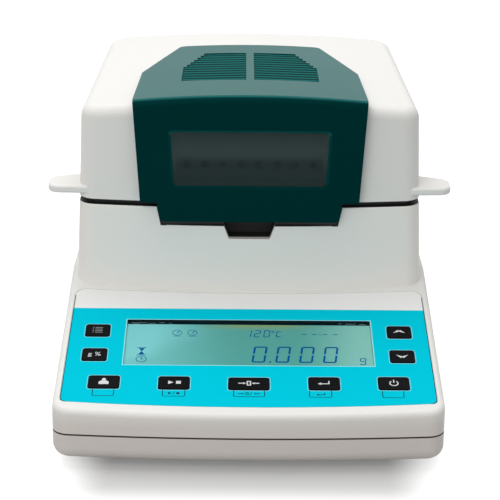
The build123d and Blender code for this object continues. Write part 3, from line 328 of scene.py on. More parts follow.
# window: smoked glass, with painted shade along its top and bottom, and painted shadows of the shield's row
# of holes that lies behind it
def windowMaterial():
    look = {
        "middle": (0.038, 0.062, 0.061),
        # edge is painted shade towards the top and bottom of the glass
        "edge": (0.014, 0.032, 0.031),
        "centre": 144.0 * mm,
        "reach": 17.0 * mm,
        "alpha": 0.8,
        "roughness": 0.12,
        "specular": 0.1,
    }
    # painted shadows of the shield's holes seen through the glass, and a painted shaded band along their row
    holeShadows = {
        "colour": (0.004, 0.012, 0.012),
        "row": 136.7 * mm,
        "end": 42.0 * mm,
        "pitch": 10.4 * mm,
        "reach": 5.4 * mm,
        "depth": 0.75,
        "bandCore": 1.0 * mm,
        "bandReach": 6.5 * mm,
        "bandDepth": 0.45,
    }
    material = clear("windowGlass", look["edge"], look["alpha"], look["roughness"], look["specular"])
    tree, place, _ = painting(material)
    across, _, height = splitPlace(tree, place)
    off = absolute(tree, minus(tree, height, look["centre"]))
    # painted shade towards the top and bottom of the glass
    smokeWithEdgeShade = mixColour(tree, softStep(tree, off, look["reach"], 0.0), look["edge"], look["middle"])
    column = mathNode(tree, "FRACT", mathNode(tree, "DIVIDE", across, holeShadows["pitch"]))
    side = times(tree, minus(tree, column, 0.5), holeShadows["pitch"])
    above = minus(tree, height, holeShadows["row"])
    # painted shadow of each hole, and of the band along the row
    holeShade = softStep(tree, diagonal(tree, side, above), holeShadows["reach"], 0.0)
    rowShade = softStep(tree, absolute(tree, above), holeShadows["bandReach"], holeShadows["bandCore"])
    shadow = largest(tree, times(tree, holeShade, holeShadows["depth"]), times(tree, rowShade, holeShadows["bandDepth"]))
    within = isUnder(tree, absolute(tree, across), holeShadows["end"])
    tinted = mixColour(tree, times(tree, shadow, within), smokeWithEdgeShade, holeShadows["colour"])
    tree.links.new(tinted, tree.nodes["Principled BSDF"].inputs["Base Color"])
    return material


# chamber housing: moulded plastic, with painted shade in the recess for the hood's tab and on the rim under
# the lid
def chamberHousing():
    look = {
        "colour": (0.86, 0.84, 0.80),
        "shade": (0.84, 0.82, 0.78),
        "roughness": 0.46,
        # the near-black colour is painted shade for the gaps
        "gapShade": (0.008, 0.008, 0.009),
        "rim": 110.1 * mm,
    }
    recess = {
        "halfWidth": 31.0 * mm,
        "sideLean": 0.2056,
        "foot": 98.9 * mm,
        "front": -46.0 * mm,
        "back": -42.6 * mm,
        "depth": 1.8 * mm,
    }
    facesFront = -0.8
    facesUp = 0.7
    material = plastic("chamberHousing", look["colour"], look["shade"], look["roughness"])
    tree, place, normal = painting(material)
    across, deep, height = splitPlace(tree, place)
    _, turned, raised = splitPlace(tree, normal)
    halfWidth = mathNode(tree, "MULTIPLY_ADD", height, recess["sideLean"], recess["halfWidth"])
    inside = isUnder(tree, absolute(tree, across), halfWidth)
    inside = times(tree, inside, between(tree, deep, recess["front"], recess["back"]))
    inside = times(tree, inside, isOver(tree, height, recess["foot"]))
    before = isUnder(tree, deep, recess["back"] - recess["depth"])
    outer = times(tree, isUnder(tree, turned, facesFront), before)
    inside = times(tree, inside, minus(tree, 1.0, outer))
    rim = times(tree, isOver(tree, height, look["rim"]), isOver(tree, raised, facesUp))
    # painted shade, near black, in the recess under the hood's tab and on the rim in the gap under the lid
    paintOver(material, largest(tree, inside, rim), look["gapShade"])
    return material


# lower shell: the base's warm plastic, dark along the parting line
def lowerHousing():
    look = {
        "colour": (0.64, 0.60, 0.565),
        "shade": (0.62, 0.58, 0.545),
        "roughness": 0.5,
        "seam": (0.11, 0.085, 0.065),
        "parting": 19.5 * mm,
    }
    material = plastic("lowerHousing", look["colour"], look["shade"], look["roughness"])
    tree, place, _ = painting(material)
    paintOver(material, isOver(tree, splitPlace(tree, place)[2], look["parting"]), look["seam"])
    return material


# hood: dark plastic with painted sheen where it is seen at a flat angle, a painted highlight along the fold,
# and painted light on the louvre blades' edges with painted shade at their feet
def hoodMaterial():
    look = {
        "near": (0.0, 0.023, 0.023),
        "mottle": (0.0, 0.034, 0.033),
        # edge, glint and the colour for a flat angle are painted sheen and highlight, not the plastic's own
        # colour
        "edge": (0.0, 0.078, 0.075),
        "glint": (0.0, 0.14, 0.132),
        "flat": (0.018, 0.120, 0.114),
        "roughness": 0.34,
        "specular": 0.05,
        "tint": (0.05, 1.0, 0.95),
    }
    blade = {
        "count": 12,
        "foot": -0.5 * mm,
        "pitch": 7.3 * mm,
        "dark": 0.85,
        "lit": 0.92,
        # low is painted shade at the foot of each blade, high is painted light at its top edge
        "low": (0.0, 0.012, 0.012),
        "high": (0.006, 0.14, 0.132),
    }
    material, tree, shader, place = startMaterial("hoodPlastic")
    grain = useGroup(tree, mouldGrain, place, Grain_Scale=3200.0)
    plain = mixColour(tree, times(tree, grain["Mottle"], 0.25), look["near"], look["mottle"])
    weight = tree.nodes.new("ShaderNodeLayerWeight")
    weight.inputs["Blend"].default_value = 0.5
    facing = weight.outputs["Facing"]
    # painted sheen: paler as the face turns away from the view
    plain = mixColour(tree, softStep(tree, facing, 0.12, 0.5), plain, look["edge"])
    # painted highlight along the fold, in a narrow band of angles
    glint = times(tree, softStep(tree, facing, 0.28, 0.38), softStep(tree, facing, 0.52, 0.42))
    plain = mixColour(tree, times(tree, glint, 0.7), plain, look["glint"])
    # painted sheen on the flat top, patchy
    patchy = mathNode(tree, "MULTIPLY_ADD", noiseNode(tree, place, 22.0), 0.4, 0.72)
    flat = times(tree, softStep(tree, facing, 0.5, 0.7), patchy, clamp=True)
    plain = mixColour(tree, flat, plain, look["flat"])
    deep = splitPlace(tree, place)[1]
    pitches = mathNode(tree, "DIVIDE", minus(tree, deep, blade["foot"]), blade["pitch"])
    share = mathNode(tree, "FRACT", pitches)
    # painted light and shade across each louvre blade
    bladeLightAndShade = mixColour(tree, softStep(tree, share, blade["dark"], blade["lit"]), blade["low"], blade["high"])
    _, turned, raised = splitPlace(tree, tree.nodes["Texture Coordinate"].outputs["Normal"])
    sloped = times(tree, isUnder(tree, turned, -0.2), isOver(tree, raised, 0.5))
    last = blade["foot"] + blade["count"] * blade["pitch"]
    inside = times(tree, sloped, between(tree, deep, blade["foot"], last))
    tree.links.new(mixColour(tree, inside, plain, bladeLightAndShade), shader.inputs["Base Color"])
    shader.inputs["Roughness"].default_value = look["roughness"]
    shader.inputs["Specular IOR Level"].default_value = look["specular"]
    shader.inputs["Specular Tint"].default_value = (*look["tint"], 1.0)
    addBump(tree, shader, grain["Height"], 0.3, 0.00002)
    return material


# overlay: cyan film with a pale strip at its top, and painted shade in the wall of the display's opening
def overlayMaterial():
    look = {
        "film": (0.0, 0.575, 0.725),
        "shade": (0.0, 0.54, 0.685),
        "strip": (0.83, 0.83, 0.81),
        # painted shade for the wall of the display's opening
        "wall": (0.002, 0.01, 0.014),
        "roughness": 0.5,
        "specular": 0.006,
    }
    material, tree, shader, place = startMaterial("overlayFilm")
    grain = useGroup(tree, mouldGrain, place, Grain_Scale=5200.0)
    tree.links.new(mixColour(tree, grain["Mottle"], look["film"], look["shade"]), shader.inputs["Base Color"])
    paintOver(material, isOver(tree, upPanel(tree, place), panelShape["stripFoot"] * mm), look["strip"])
    # painted shade, near black, on the upper wall of the display's opening
    paintOver(material, openingWallShade(tree, place), look["wall"])
    shader.inputs["Roughness"].default_value = look["roughness"]
    shader.inputs["Specular IOR Level"].default_value = look["specular"]
    addBump(tree, shader, grain["Height"], 0.3, 0.00002)
    return material


# liquid crystal: pale at both ends, olive under the dark top edge, soft cloudy patches between; the pale
# clouds are painted reflection, and its faint glow is painted light
def displayMaterial():
    look = {
        # pale is painted reflection
        "paleReflection": (0.195, 0.57, 0.58),
        "deep": (0.085, 0.33, 0.295),
        "warm": (0.235, 0.53, 0.47),
        "olive": (0.22, 0.33, 0.13),
        "bar": (0.0, 0.008, 0.014),
        "glow": 0.2,
        "roughness": 0.5,
        "specular": 0.015,
    }
    material, tree, shader, place = startMaterial("displayFace")
    across = splitPlace(tree, place)[0]
    up = upPanel(tree, place)
    left = softStep(tree, across, 0.0, -66.0 * mm)
    right = softStep(tree, across, 25.0 * mm, 68.0 * mm)
    drift = times(tree, minus(tree, noiseNode(tree, place, 16.0, 1.5, 0.45), 0.40), 2.4, clamp=True)
    # painted reflection: pale soft clouds towards the left end
    reflectionClouds = times(tree, left, plus(tree, drift, 0.65), clamp=True)
    face = mixColour(tree, reflectionClouds, look["deep"], look["paleReflection"])
    face = mixColour(tree, times(tree, right, 0.85), face, look["warm"])
    middle = softStep(tree, absolute(tree, minus(tree, across, 6.0 * mm)), 40.0 * mm, 8.0 * mm)
    upper = times(tree, middle, softStep(tree, up, 74.0 * mm, 81.0 * mm))
    face = mixColour(tree, times(tree, upper, 0.8), face, look["olive"])
    colour = mixColour(tree, isOver(tree, up, panelShape["barFoot"] * mm), face, look["bar"])
    tree.links.new(colour, shader.inputs["Base Color"])
    # painted glow: the face gives off a little of its own colour, though it is no lamp
    tree.links.new(colour, shader.inputs["Emission Color"])
    shader.inputs["Emission Strength"].default_value = look["glow"]
    shader.inputs["Roughness"].default_value = look["roughness"]
    shader.inputs["Specular IOR Level"].default_value = look["specular"]
    return material


materials = {
    "housing": plastic("housing", (0.80, 0.79, 0.76), (0.78, 0.77, 0.74), 0.46, specular=0.25),
    "housing_lower": lowerHousing(),
    "hood_plastic": hoodMaterial(),
    "overlay_film": overlayMaterial(),
    "display_glass": clear("displayLens", (0.01, 0.04, 0.05), 0.04, 0.03, 0.1),
    "display_face": displayMaterial(),
    "window_glass": windowMaterial(),
    "circuit_board": plastic("circuitBoard", (0.02, 0.20, 0.08), (0.02, 0.16, 0.07), 0.4),
    "lamination": metal("lamination", (0.12, 0.12, 0.12), (0.07, 0.07, 0.07), 0.5),
    "black_plastic": plastic("blackPlastic", (0.02, 0.02, 0.02), (0.03, 0.03, 0.03), 0.45),
    "plated_steel": metal("platedSteel", (0.6, 0.6, 0.6), (0.5, 0.5, 0.5), 0.3),
    "silicone": plastic("silicone", (0.012, 0.012, 0.012), (0.02, 0.02, 0.02), 0.7),
    "stainless": metal("stainless", (0.62, 0.62, 0.6), (0.48, 0.48, 0.47), 0.35),
    "cell_aluminium": metal("cellAluminium", (0.7, 0.7, 0.72), (0.6, 0.6, 0.62), 0.4),
    "pan_aluminium": metal("panAluminium", (0.85, 0.85, 0.87), (0.7, 0.7, 0.72), 0.3, (30.0, 30.0, 30.0)),
    "dark_steel": plastic("darkSteel", (0.03, 0.03, 0.03), (0.05, 0.05, 0.05), 0.4),
    "heat_glass": clear("heatGlass", (0.9, 0.93, 0.93), 0.15, 0.03),
    "mirror_steel": metal("mirrorSteel", (0.85, 0.85, 0.85), (0.75, 0.75, 0.75), 0.18),
    "lamp_quartz": clear("lampQuartz", (0.95, 0.9, 0.8), 0.45, 0.05),
    "lamp_ceramic": plastic("lampCeramic", (0.8, 0.78, 0.72), (0.75, 0.73, 0.68), 0.6),
    "foot_rubber": plastic("footRubber", (0.02, 0.02, 0.02), (0.03, 0.03, 0.03), 0.75),
    "key_plastic": plastic("keyPlastic", (0.003, 0.003, 0.004), (0.005, 0.005, 0.006), 0.5, specular=0.03),
}

finishes = {"base_top_shell": baseHousing(), "chamber_housing": chamberHousing()}

for subpart in frame["record"]["subparts"]:
    cadObject = cadNodes[subpart["node"]]
    cadObject.data.materials.clear()
    finish = finishes.get(subpart["node"], materials[subpart["material_slot"]])
    cadObject.data.materials.append(finish)
    deselect()
    bpy.context.view_layer.objects.active = cadObject
    cadObject.select_set(True)
    bpy.ops.object.shade_smooth_by_angle(angle=math.radians(30))
print("stage: finishes set")


# flat marks on the panel, drawn in its own plane in millimetres

def applyPlace():
    bpy.ops.object.transform_apply(location=True, rotation=True, scale=True)


def bar(across, up, width, height, turn=0.0):
    bpy.ops.mesh.primitive_plane_add(size=1.0, location=(across, up, 0.0), rotation=(0.0, 0.0, turn))
    strip = bpy.context.object
    strip.scale = (width, height, 1.0)
    applyPlace()
    return strip


def disc(across, up, radius, sides=24, turn=0.0):
    bpy.ops.mesh.primitive_circle_add(
        vertices=sides, radius=radius, fill_type="NGON", location=(across, up, 0.0), rotation=(0.0, 0.0, turn)
    )
    applyPlace()
    return bpy.context.object


# line along part of a circle, as a row of short bars that meet
def arcMark(across, up, radius, line, start, sweep, steps=16):
    length = 2 * (radius + line / 2) * math.tan(abs(sweep) / steps / 2)
    marks = []
    for step in range(steps):
        turn = start + sweep * (step + 0.5) / steps
        marks.append(bar(across + radius * math.cos(turn), up + radius * math.sin(turn), line, length, turn))
    return marks


def ring(across, up, radius, line, steps):
    return arcMark(across, up, radius, line, 0.0, 2 * math.pi, steps)


# triangle with equal sides, its point up the panel where turn is 0
def triangle(across, up, radius, turn=0.0):
    return disc(across, up, radius, 3, turn)


# long narrow triangle, its point along turn
def wedge(across, up, length, width, turn):
    mark = triangle(0.0, 0.0, 1.0, -math.pi / 2)
    mark.scale = (length / 1.5, width / math.sqrt(3.0), 1.0)
    applyPlace()
    mark.rotation_euler = (0.0, 0.0, turn)
    mark.location = (across, up, 0.0)
    applyPlace()
    return mark


def frameMark(across, up, width, height, line):
    half = (width - line) / 2
    tall = (height - line) / 2
    rows = [bar(across, up + side * tall, width, line) for side in (-1, 1)]
    return rows + [bar(across + side * half, up, line, height - 2 * line) for side in (-1, 1)]


def textMark(words, across, up, size):
    bpy.ops.object.text_add(location=(0.0, 0.0, 0.0))
    letters = bpy.context.object
    letters.data.body = words
    letters.data.size = size
    letters.data.align_x = "CENTER"
    letters.data.align_y = "CENTER"
    bpy.ops.object.convert(target="MESH")
    letters = bpy.context.object
    letters.location = (across, up, 0.0)
    applyPlace()
    return letters


# slants figures, which stay as they are at the height up
def lean(marks, slant, up):
    for mark in marks:
        for vertex in mark.data.vertices:
            vertex.co.x += (vertex.co.y - up) * slant
    return marks


# joins marks into one piece, thickens them, and takes them to the panel: height above it, rise up the slope
def settleMarks(name, marks, height, thickness, material, body, rise=0.0):
    deselect()
    for mark in marks:
        mark.select_set(True)
    bpy.context.view_layer.objects.active = marks[0]
    if len(marks) > 1:
        bpy.ops.object.join()
    piece = bpy.context.view_layer.objects.active
    piece.name = name
    piece.data.name = name
    thicken = piece.modifiers.new("thickness", "SOLIDIFY")
    thicken.thickness = thickness
    thicken.offset = 1.0
    bpy.ops.object.modifier_apply(modifier=thicken.name)
    piece.matrix_world = panelMatrix @ Matrix.Scale(mm, 4) @ Matrix.Translation((0.0, rise, height))
    applyPlace()
    piece.data.materials.clear()
    piece.data.materials.append(material)
    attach(piece, body)


# display: seven-segment figures and small signs

displayLook = {
    "digit": {"width": 7.6, "height": 15.6, "foot": 41.4, "line": 1.12},
    "digitCentres": (5.2, 18.35, 31.55, 44.7),
    "point": {"place": (11.7, 42.0), "size": 1.2},
    "small": {"width": 3.5, "height": 7.0, "foot": 66.4, "line": 0.58},
    "smallCentres": {"1": -3.3, "2": 1.8, "0": 7.1},
    "celsius": {"width": 3.0, "height": 5.6, "foot": 66.7, "line": 0.58},
    "celsiusCentre": 13.9,
    "degree": {"place": (13.8, 72.0), "radius": 0.7, "line": 0.35},
    "unit": {"width": 3.6, "height": 6.4, "foot": 39.8, "line": 0.6},
    "unitCentre": 63.0,
    "dashes": {"centres": (31.4, 37.2, 43.2, 49.0), "level": 69.5, "width": 2.5, "height": 0.55},
    "colon": {"centre": 40.3, "levels": (68.3, 70.7), "size": 0.6},
    "dials": {"centres": (-40.4, -31.8), "level": 70.4, "radius": 2.6, "line": 0.35},
    "clock": {"place": (-59.5, 44.0), "radius": 2.8, "line": 0.4},
    "hourglass": {"centre": -59.6, "halves": ((49.6, 0.0), (53.6, math.pi)), "radius": 2.0},
    "hourglassEnds": (48.0, 55.2),
    "glints": (
        (-62.5, 0.6, 9.0), (-55.0, 0.0, 4.5), (-49.5, 0.7, 3.0), (-64.0, -0.8, 4.0),
        (-44.5, 0.2, 2.0), (58.0, 0.5, 6.0), (64.5, 0.2, 3.5), (52.0, 0.8, 2.0),
    ),
    "slant": 0.11,
    "rise": 2.3,
    "depth": -1.6,
    "thickness": 0.05,
}
segmentsOf = {"0": "abcdef", "1": "bc", "2": "abged", "C": "afed", "g": "abfgcd"}


def digitMarks(figure, across, size):
    foot, width, height, line = (size[key] for key in ("foot", "width", "height", "line"))
    half = height / 2
    side = (width - line) / 2
    tall = half - line * 1.28
    short = width - 1.2 * line
    places = {
        "a": (across, foot + height - line / 2, short, line),
        "g": (across, foot + half, width - 2 * line, line),
        "d": (across, foot + line / 2, short, line),
        "b": (across + side, foot + half * 1.5, line, tall),
        "c": (across + side, foot + half / 2, line, tall),
        "f": (across - side, foot + half * 1.5, line, tall),
        "e": (across - side, foot + half / 2, line, tall),
    }
    return [bar(*places[segment]) for segment in segmentsOf[figure]]


# figures and letters, which all lean
def figureMarks():
    digit, small, celsius, unit = (displayLook[key] for key in ("digit", "small", "celsius", "unit"))
    marks = []
    for centre in displayLook["digitCentres"]:
        marks += digitMarks("0", centre, digit)
    point = displayLook["point"]
    marks.append(bar(*point["place"], point["size"], point["size"]))
    for figure, centre in displayLook["smallCentres"].items():
        marks += digitMarks(figure, centre, small)
    marks += digitMarks("C", displayLook["celsiusCentre"], celsius)
    marks += digitMarks("g", displayLook["unitCentre"], unit)
    return lean(marks, displayLook["slant"], digit["foot"])


# empty time, two small dials, and the clock under its hourglass
def statusMarks():
    degree, dashes, colon, dials, clock, hourglass = (
        displayLook[key] for key in ("degree", "dashes", "colon", "dials", "clock", "hourglass")
    )
    marks = ring(*degree["place"], degree["radius"], degree["line"], 12)
    marks += [bar(centre, dashes["level"], dashes["width"], dashes["height"]) for centre in dashes["centres"]]
    marks += [bar(colon["centre"], level, colon["size"], colon["size"]) for level in colon["levels"]]
    for centre in dials["centres"]:
        marks += ring(centre, dials["level"], dials["radius"], dials["line"], 20)
        marks.append(bar(centre + 0.5, dials["level"] + 0.5, 0.5, 2.6, -0.6))
        marks.append(bar(centre, dials["level"] - 3.5, 4.2, 0.4))
    across, up = clock["place"]
    marks += ring(across, up, clock["radius"], clock["line"], 20)
    marks += [bar(across, up + 1.0, 0.5, 2.0), bar(across + 0.6, up, 1.4, 0.5)]
    for level, turn in hourglass["halves"]:
        marks.append(triangle(hourglass["centre"], level, hourglass["radius"], turn))
    return marks + [bar(hourglass["centre"], level, 5.4, 0.4) for level in displayLook["hourglassEnds"]]


def makeDisplayMarks():
    look = displayLook
    ink = plastic("figureInk", (0.0, 0.10, 0.33), (0.0, 0.092, 0.31), 0.5, specular=0.01)
    marks = figureMarks() + statusMarks()
    depth, thickness, rise = look["depth"], look["thickness"], look["rise"]
    settleMarks("display_figures", marks, depth, thickness, ink, "base", rise)


# pale line printed round the display's opening
def makeDisplayFrame():
    look = {"halfWidth": 69.65, "foot": 38.1, "top": 83.95, "line": 0.5, "thickness": 0.03}
    paint = plastic("framePaint", (0.36, 0.78, 0.82), (0.34, 0.76, 0.80), 0.5, specular=0.05)
    middle = (look["foot"] + look["top"]) / 2
    marks = frameMark(0.0, middle, 2 * look["halfWidth"], look["top"] - look["foot"], look["line"])
    settleMarks("overlay_frame", marks, 0.0, look["thickness"], paint, "base")


# glints in the display's dark top edge
def makeGlints():
    look = {"level": 82.1, "line": 0.3, "thickness": 0.02}
    paint = plastic("glintPaint", (0.30, 0.42, 0.45), (0.24, 0.36, 0.38), 0.5, specular=0.1)
    depth = displayLook["depth"]
    marks = []
    for across, lift, length in displayLook["glints"]:
        marks.append(bar(across, look["level"] + lift, length, look["line"]))
    settleMarks("display_glints", marks, depth, look["thickness"], paint, "base")


# cover over the figures, in place of the plain one, with room for them under it
def makeLens():
    look = {"width": 137.8, "foot": 38.9, "top": 83.1, "thickness": 1.45, "edge": 0.25}
    deselect()
    middle = (look["foot"] + look["top"]) / 2
    bpy.ops.mesh.primitive_cube_add(size=1.0, location=(0.0, middle, -look["thickness"] / 2))
    lens = bpy.context.object
    lens.name = "display_cover"
    lens.data.name = "display_cover"
    lens.scale = (look["width"], look["top"] - look["foot"], look["thickness"])
    applyPlace()
    rounding = lens.modifiers.new("rounding", "BEVEL")
    rounding.width = look["edge"]
    rounding.segments = 3
    bpy.ops.object.modifier_apply(modifier=rounding.name)
    lens.matrix_world = panelMatrix @ Matrix.Scale(mm, 4)
    applyPlace()
    lens.data.materials.append(materials["display_glass"])
    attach(lens, "base")
    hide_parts("display_lens")


makeDisplayMarks()
makeDisplayFrame()
makeGlints()
makeLens()


# keys: small signs standing on each cap

keyPlaces = {
    "menu": (-85.1, 71.8),
    "unit": (-85.3, 47.8),
    "up": (84.9, 72.0),
    "down": (85.0, 47.9),
    "calibrate": (-78.4, 21.8),
    "start": (-40.4, 21.4),
    "tare": (0.1, 21.0),
    "enter": (40.8, 21.6),
    "power": (78.6, 22.2),
}
keyMark = {"height": 0.5, "thickness": 0.04, "line": 0.7}


# small generic sign for a key: bars, discs and triangles round its middle
def keySign(name, across, up):
    line = keyMark["line"]
    if name == "menu":
        levels = [up + step for step in (-2.4, -0.8, 0.8, 2.4)]
        rows = [bar(across + 0.6, level, 4.2, 0.55) for level in levels]
        return rows + [bar(across - 2.6, level, 0.7, 0.55) for level in levels]
    if name == "unit":
        return [textMark("g %", across, up, 5.2)]
    if name in ("up", "down"):
        side = 1 if name == "up" else -1
        tilt = side * 0.62
        level = up + side * 0.35
        return [
            wedge(across + 1.25, level, 4.0, 1.9, -tilt),
            wedge(across - 1.25, level, 4.0, 1.9, math.pi + tilt),
        ]
    if name == "calibrate":
        return [bar(across, up - 1.2, 5.4, 2.6), bar(across, up + 0.5, 3.6, 0.8), disc(across, up + 2.0, 1.1)]
    if name == "start":
        return [triangle(across - 2.2, up, 1.9, -math.pi / 2), bar(across + 2.4, up, 2.6, 2.6)]
    if name == "tare":
        arrows = []
        for side in (-1, 1):
            arrows.append(bar(across + side * 4.2, up, 3.0, line))
            arrows.append(triangle(across + side * 2.6, up, 1.1, side * math.pi / 2))
        return arrows + frameMark(across, up, 2.4, 4.2, line)
    if name == "enter":
        hook = [bar(across + 0.6, up - 0.6, 4.6, line), bar(across + 2.6, up + 0.9, line, 2.3)]
        return hook + [triangle(across - 2.2, up - 0.6, 1.3, math.pi / 2)]
    circle = arcMark(across, up - 0.2, 2.2, line, math.radians(130), math.radians(280))
    return circle + [bar(across, up + 1.6, line, 2.6)]


def makeKeySigns():
    paleInk = plastic("signInk", (0.66, 0.68, 0.68), (0.62, 0.64, 0.64), 0.5)
    faintInk = plastic("faintInk", (0.22, 0.23, 0.23), (0.20, 0.21, 0.21), 0.5)
    for name, place in keyPlaces.items():
        ink = faintInk if name == "menu" else paleInk
        marks = keySign(name, *place)
        body = f"key_{name}"
        settleMarks(f"sign_{name}", marks, keyMark["height"], keyMark["thickness"], ink, body)


makeKeySigns()


# lines printed on the overlay

bracketLook = {
    "line": 0.45,
    "foot": 9.3,
    "tall": 6.0,
    "corner": 1.0,
    "places": ((-78.2, 11.4), (-40.3, 12.0), (0.2, 16.6), (38.6, 12.0), (77.6, 11.4)),
    "signLevel": 12.1,
    "thickness": 0.03,
}


# bracket open at its top, under a front key
def bracketMarks(across, width):
    line, foot, corner = bracketLook["line"], bracketLook["foot"], bracketLook["corner"]
    tall = bracketLook["tall"] - corner
    marks = [bar(across, foot, width - 2 * corner, line)]
    for side in (-1, 1):
        start = math.pi if side < 0 else -math.pi / 2
        middle = across + side * (width / 2 - corner)
        marks += arcMark(middle, foot + corner, corner, line, start, math.pi / 2, 4)
        marks.append(bar(across + side * width / 2, foot + corner + tall / 2, line, tall))
    return marks


# small signs in the brackets of start, tare and enter
def bracketSigns():
    level = bracketLook["signLevel"]
    marks = [triangle(-42.6, level, 1.3, -math.pi / 2), bar(-40.3, level, 0.35, 2.6, -0.4)]
    marks.append(bar(-38.0, level, 1.7, 1.7))
    marks += [bar(39.2, 11.6, 3.4, 0.5), bar(40.8, 12.6, 0.5, 1.6), triangle(37.2, 11.6, 1.0, math.pi / 2)]
    marks += [bar(-4.6, level, 2.4, 0.45), triangle(-3.2, level, 0.8, -math.pi / 2)]
    marks += [bar(5.0, level, 2.4, 0.45), triangle(3.6, level, 0.8, math.pi / 2)]
    return marks + frameMark(-0.9, level, 1.6, 2.4, 0.4) + [bar(1.1, level, 0.35, 2.6, -0.4)]


def makeBrackets():
    ink = plastic("printInk", (0.0, 0.025, 0.04), (0.0, 0.022, 0.036), 0.5, specular=0.05)
    marks = []
    for across, width in bracketLook["places"]:
        marks += bracketMarks(across, width)
    marks += bracketSigns()
    settleMarks("overlay_marks", marks, 0.0, bracketLook["thickness"], ink, "base")


# dark line along both sides of the overlay and round its lower corners
def makeOutline():
    look = {"halfWidth": 100.6, "line": 0.4, "foot": 4.1, "top": 109.0, "corner": 3.4, "thickness": 0.03}
    ink = plastic("edgeInk", (0.004, 0.012, 0.014), (0.004, 0.010, 0.012), 0.5, specular=0.05)
    low = look["foot"] + look["corner"]
    marks = []
    for side in (-1, 1):
        marks.append(bar(side * look["halfWidth"], (low + look["top"]) / 2, look["line"], look["top"] - low))
        start = math.pi if side < 0 else -math.pi / 2
        middle = side * (look["halfWidth"] - look["corner"])
        marks += arcMark(middle, low, look["corner"], look["line"], start, math.pi / 2, 6)
    settleMarks("overlay_outline", marks, 0.0, look["thickness"], ink, "base")


# rounded line round a key's opening
def rimMarks(across, up, half, tall, corner, line):
    marks = []
    for side in (-1, 1):
        marks.append(bar(across, up + side * tall, 2 * (half - corner), line))
        marks.append(bar(across + side * half, up, line, 2 * (tall - corner)))
        for level in (-1, 1):
            start = math.atan2(level, side) - math.pi / 4
            middle = (across + side * (half - corner), up + level * (tall - corner))
            marks += arcMark(*middle, corner, line, start, math.pi / 2, 5)
    return marks


def makeKeyRims():
    look = {"gap": 0.6, "corner": 1.9, "line": 0.28, "thickness": 0.03}
    wide, small, tare = (16.6, 11.8), (13.4, 12.0), (21.9, 11.3)
    sizes = {"menu": small, "unit": small, "up": small, "down": small, "tare": tare}
    paint = plastic("palePaint", (0.36, 0.76, 0.82), (0.34, 0.74, 0.80), 0.5, specular=0.05)
    marks = []
    for name, place in keyPlaces.items():
        half, tall = (length / 2 + look["gap"] for length in sizes.get(name, wide))
        marks += rimMarks(*place, half, tall, look["corner"], look["line"])
    settleMarks("overlay_key_rims", marks, 0.0, look["thickness"], paint, "base")


makeBrackets()
makeOutline()
makeKeyRims()
print("stage: panel marks made")


# floor, lamps and camera

stageLook = {
    "floor": (0.50, 0.50, 0.495),
    "roughness": 0.9,
    "glow": 0.8,
    # the floor glows less on a patch in front of the base: a painted shadow over the cast one
    "shadowGlow": 0.17,
    "shadowPlace": 0.15,
    "shadowHalfWidth": 0.072,
    "shadowHalfDepth": 0.029,
    "shadowFade": 0.036,
    "fill": 0.46,
    "overhead": 10.0,
    "front": 6.9,
}


# 1 for rays that show the background: straight from the camera, off a glossy face or through glass
def backgroundRays(tree):
    path = tree.nodes.new("ShaderNodeLightPath")
    seen = largest(tree, path.outputs["Is Camera Ray"], path.outputs["Is Transmission Ray"])
    return largest(tree, seen, path.outputs["Is Glossy Ray"])


# 0 on the patch of the floor in front of the base, where it glows less as a painted shadow, and 1 away from
# it
def awayFromPaintedShadow(tree, place):
    across, deep, _ = splitPlace(tree, place)
    aside = largest(tree, minus(tree, absolute(tree, across), stageLook["shadowHalfWidth"]), 0.0)
    offset = absolute(tree, plus(tree, deep, stageLook["shadowPlace"]))
    ahead = largest(tree, minus(tree, offset, stageLook["shadowHalfDepth"]), 0.0)
    return softStep(tree, diagonal(tree, aside, ahead), 0.0, stageLook["shadowFade"])


def makeFloor():
    deselect()
    bpy.ops.mesh.primitive_plane_add(size=12.0)
    floor = bpy.context.object
    floor.name = "floor"
    material, tree, shader, place = startMaterial("floorPaper")
    shader.inputs["Base Color"].default_value = (*stageLook["floor"], 1.0)
    shader.inputs["Roughness"].default_value = stageLook["roughness"]
    shader.inputs["Specular IOR Level"].default_value = 0.0
    shader.inputs["Emission Color"].default_value = (1.0, 1.0, 1.0, 1.0)
    # painted shadow: weaker glow on the patch in front of the base
    low = stageLook["shadowGlow"]
    glow = mathNode(tree, "MULTIPLY_ADD", awayFromPaintedShadow(tree, place), stageLook["glow"] - low, low)
    tree.links.new(times(tree, backgroundRays(tree), glow), shader.inputs["Emission Strength"])
    floor.data.materials.append(material)


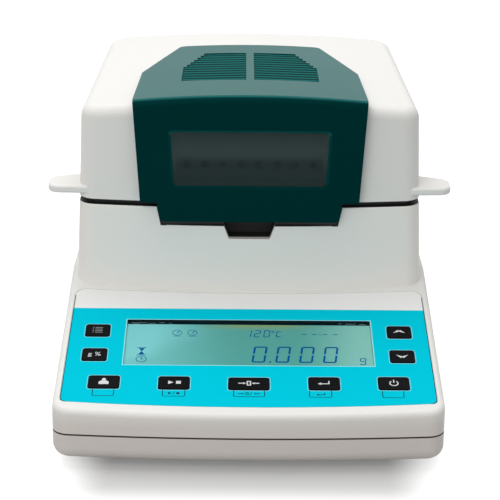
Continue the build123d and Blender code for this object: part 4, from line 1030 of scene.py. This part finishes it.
def makeWorld():
    world = bpy.data.worlds.new("studio")
    bpy.context.scene.world = world
    world.use_nodes = True
    tree = world.node_tree
    background = tree.nodes["Background"]
    fill = stageLook["fill"]
    background.inputs["Color"].default_value = (1.0, 1.0, 1.0, 1.0)
    strength = mathNode(tree, "MULTIPLY_ADD", backgroundRays(tree), 1.0 - fill, fill)
    tree.links.new(strength, background.inputs["Strength"])


def areaLamp(name, place, target, size, power):
    lampData = bpy.data.lights.new(name, "AREA")
    lampData.shape = "SQUARE"
    lampData.size = size
    lampData.energy = power
    lamp = bpy.data.objects.new(name, lampData)
    bpy.context.collection.objects.link(lamp)
    lamp.location = place
    lamp.rotation_euler = (Vector(target) - Vector(place)).to_track_quat("-Z", "Y").to_euler()


# camera that was fitted to the photograph, which is a square of 500 pixels
def makeCamera():
    shot = {
        "place": (-0.00467, -1.03468, 0.42329),
        "pitch": 18.90,
        "yaw": 0.30,
        "roll": 0.53,
        "focalPixels": 1800.0,
        "pixels": 500.0,
        "sensor": 36.0,
    }
    pitch, yaw, roll = (math.radians(shot[key]) for key in ("pitch", "yaw", "roll"))
    forward = Vector((math.sin(yaw) * math.cos(pitch), math.cos(yaw) * math.cos(pitch), -math.sin(pitch)))
    right = Vector((math.cos(yaw), -math.sin(yaw), 0.0))
    up = right.cross(forward)
    turnedRight = right * math.cos(roll) + up * math.sin(roll)
    turnedUp = up * math.cos(roll) - right * math.sin(roll)
    cameraData = bpy.data.cameras.new("camera")
    cameraData.sensor_width = shot["sensor"]
    cameraData.lens = shot["focalPixels"] / shot["pixels"] * shot["sensor"]
    cameraData.clip_start = 0.01
    camera = bpy.data.objects.new("camera", cameraData)
    bpy.context.collection.objects.link(camera)
    turned = Matrix((turnedRight, turnedUp, -forward)).transposed().to_4x4()
    camera.matrix_world = Matrix.Translation(shot["place"]) @ turned
    bpy.context.scene.camera = camera


makeFloor()
makeWorld()
areaLamp("overhead", (-0.1, 0.2, 1.25), (0.0, 0.05, 0.1), 1.1, stageLook["overhead"])
areaLamp("frontFill", (-0.5, -1.3, 0.9), (0.0, 0.0, 0.1), 1.0, stageLook["front"])
makeCamera()
bpy.context.scene.view_settings.view_transform = "Standard"
print("stage: studio set")
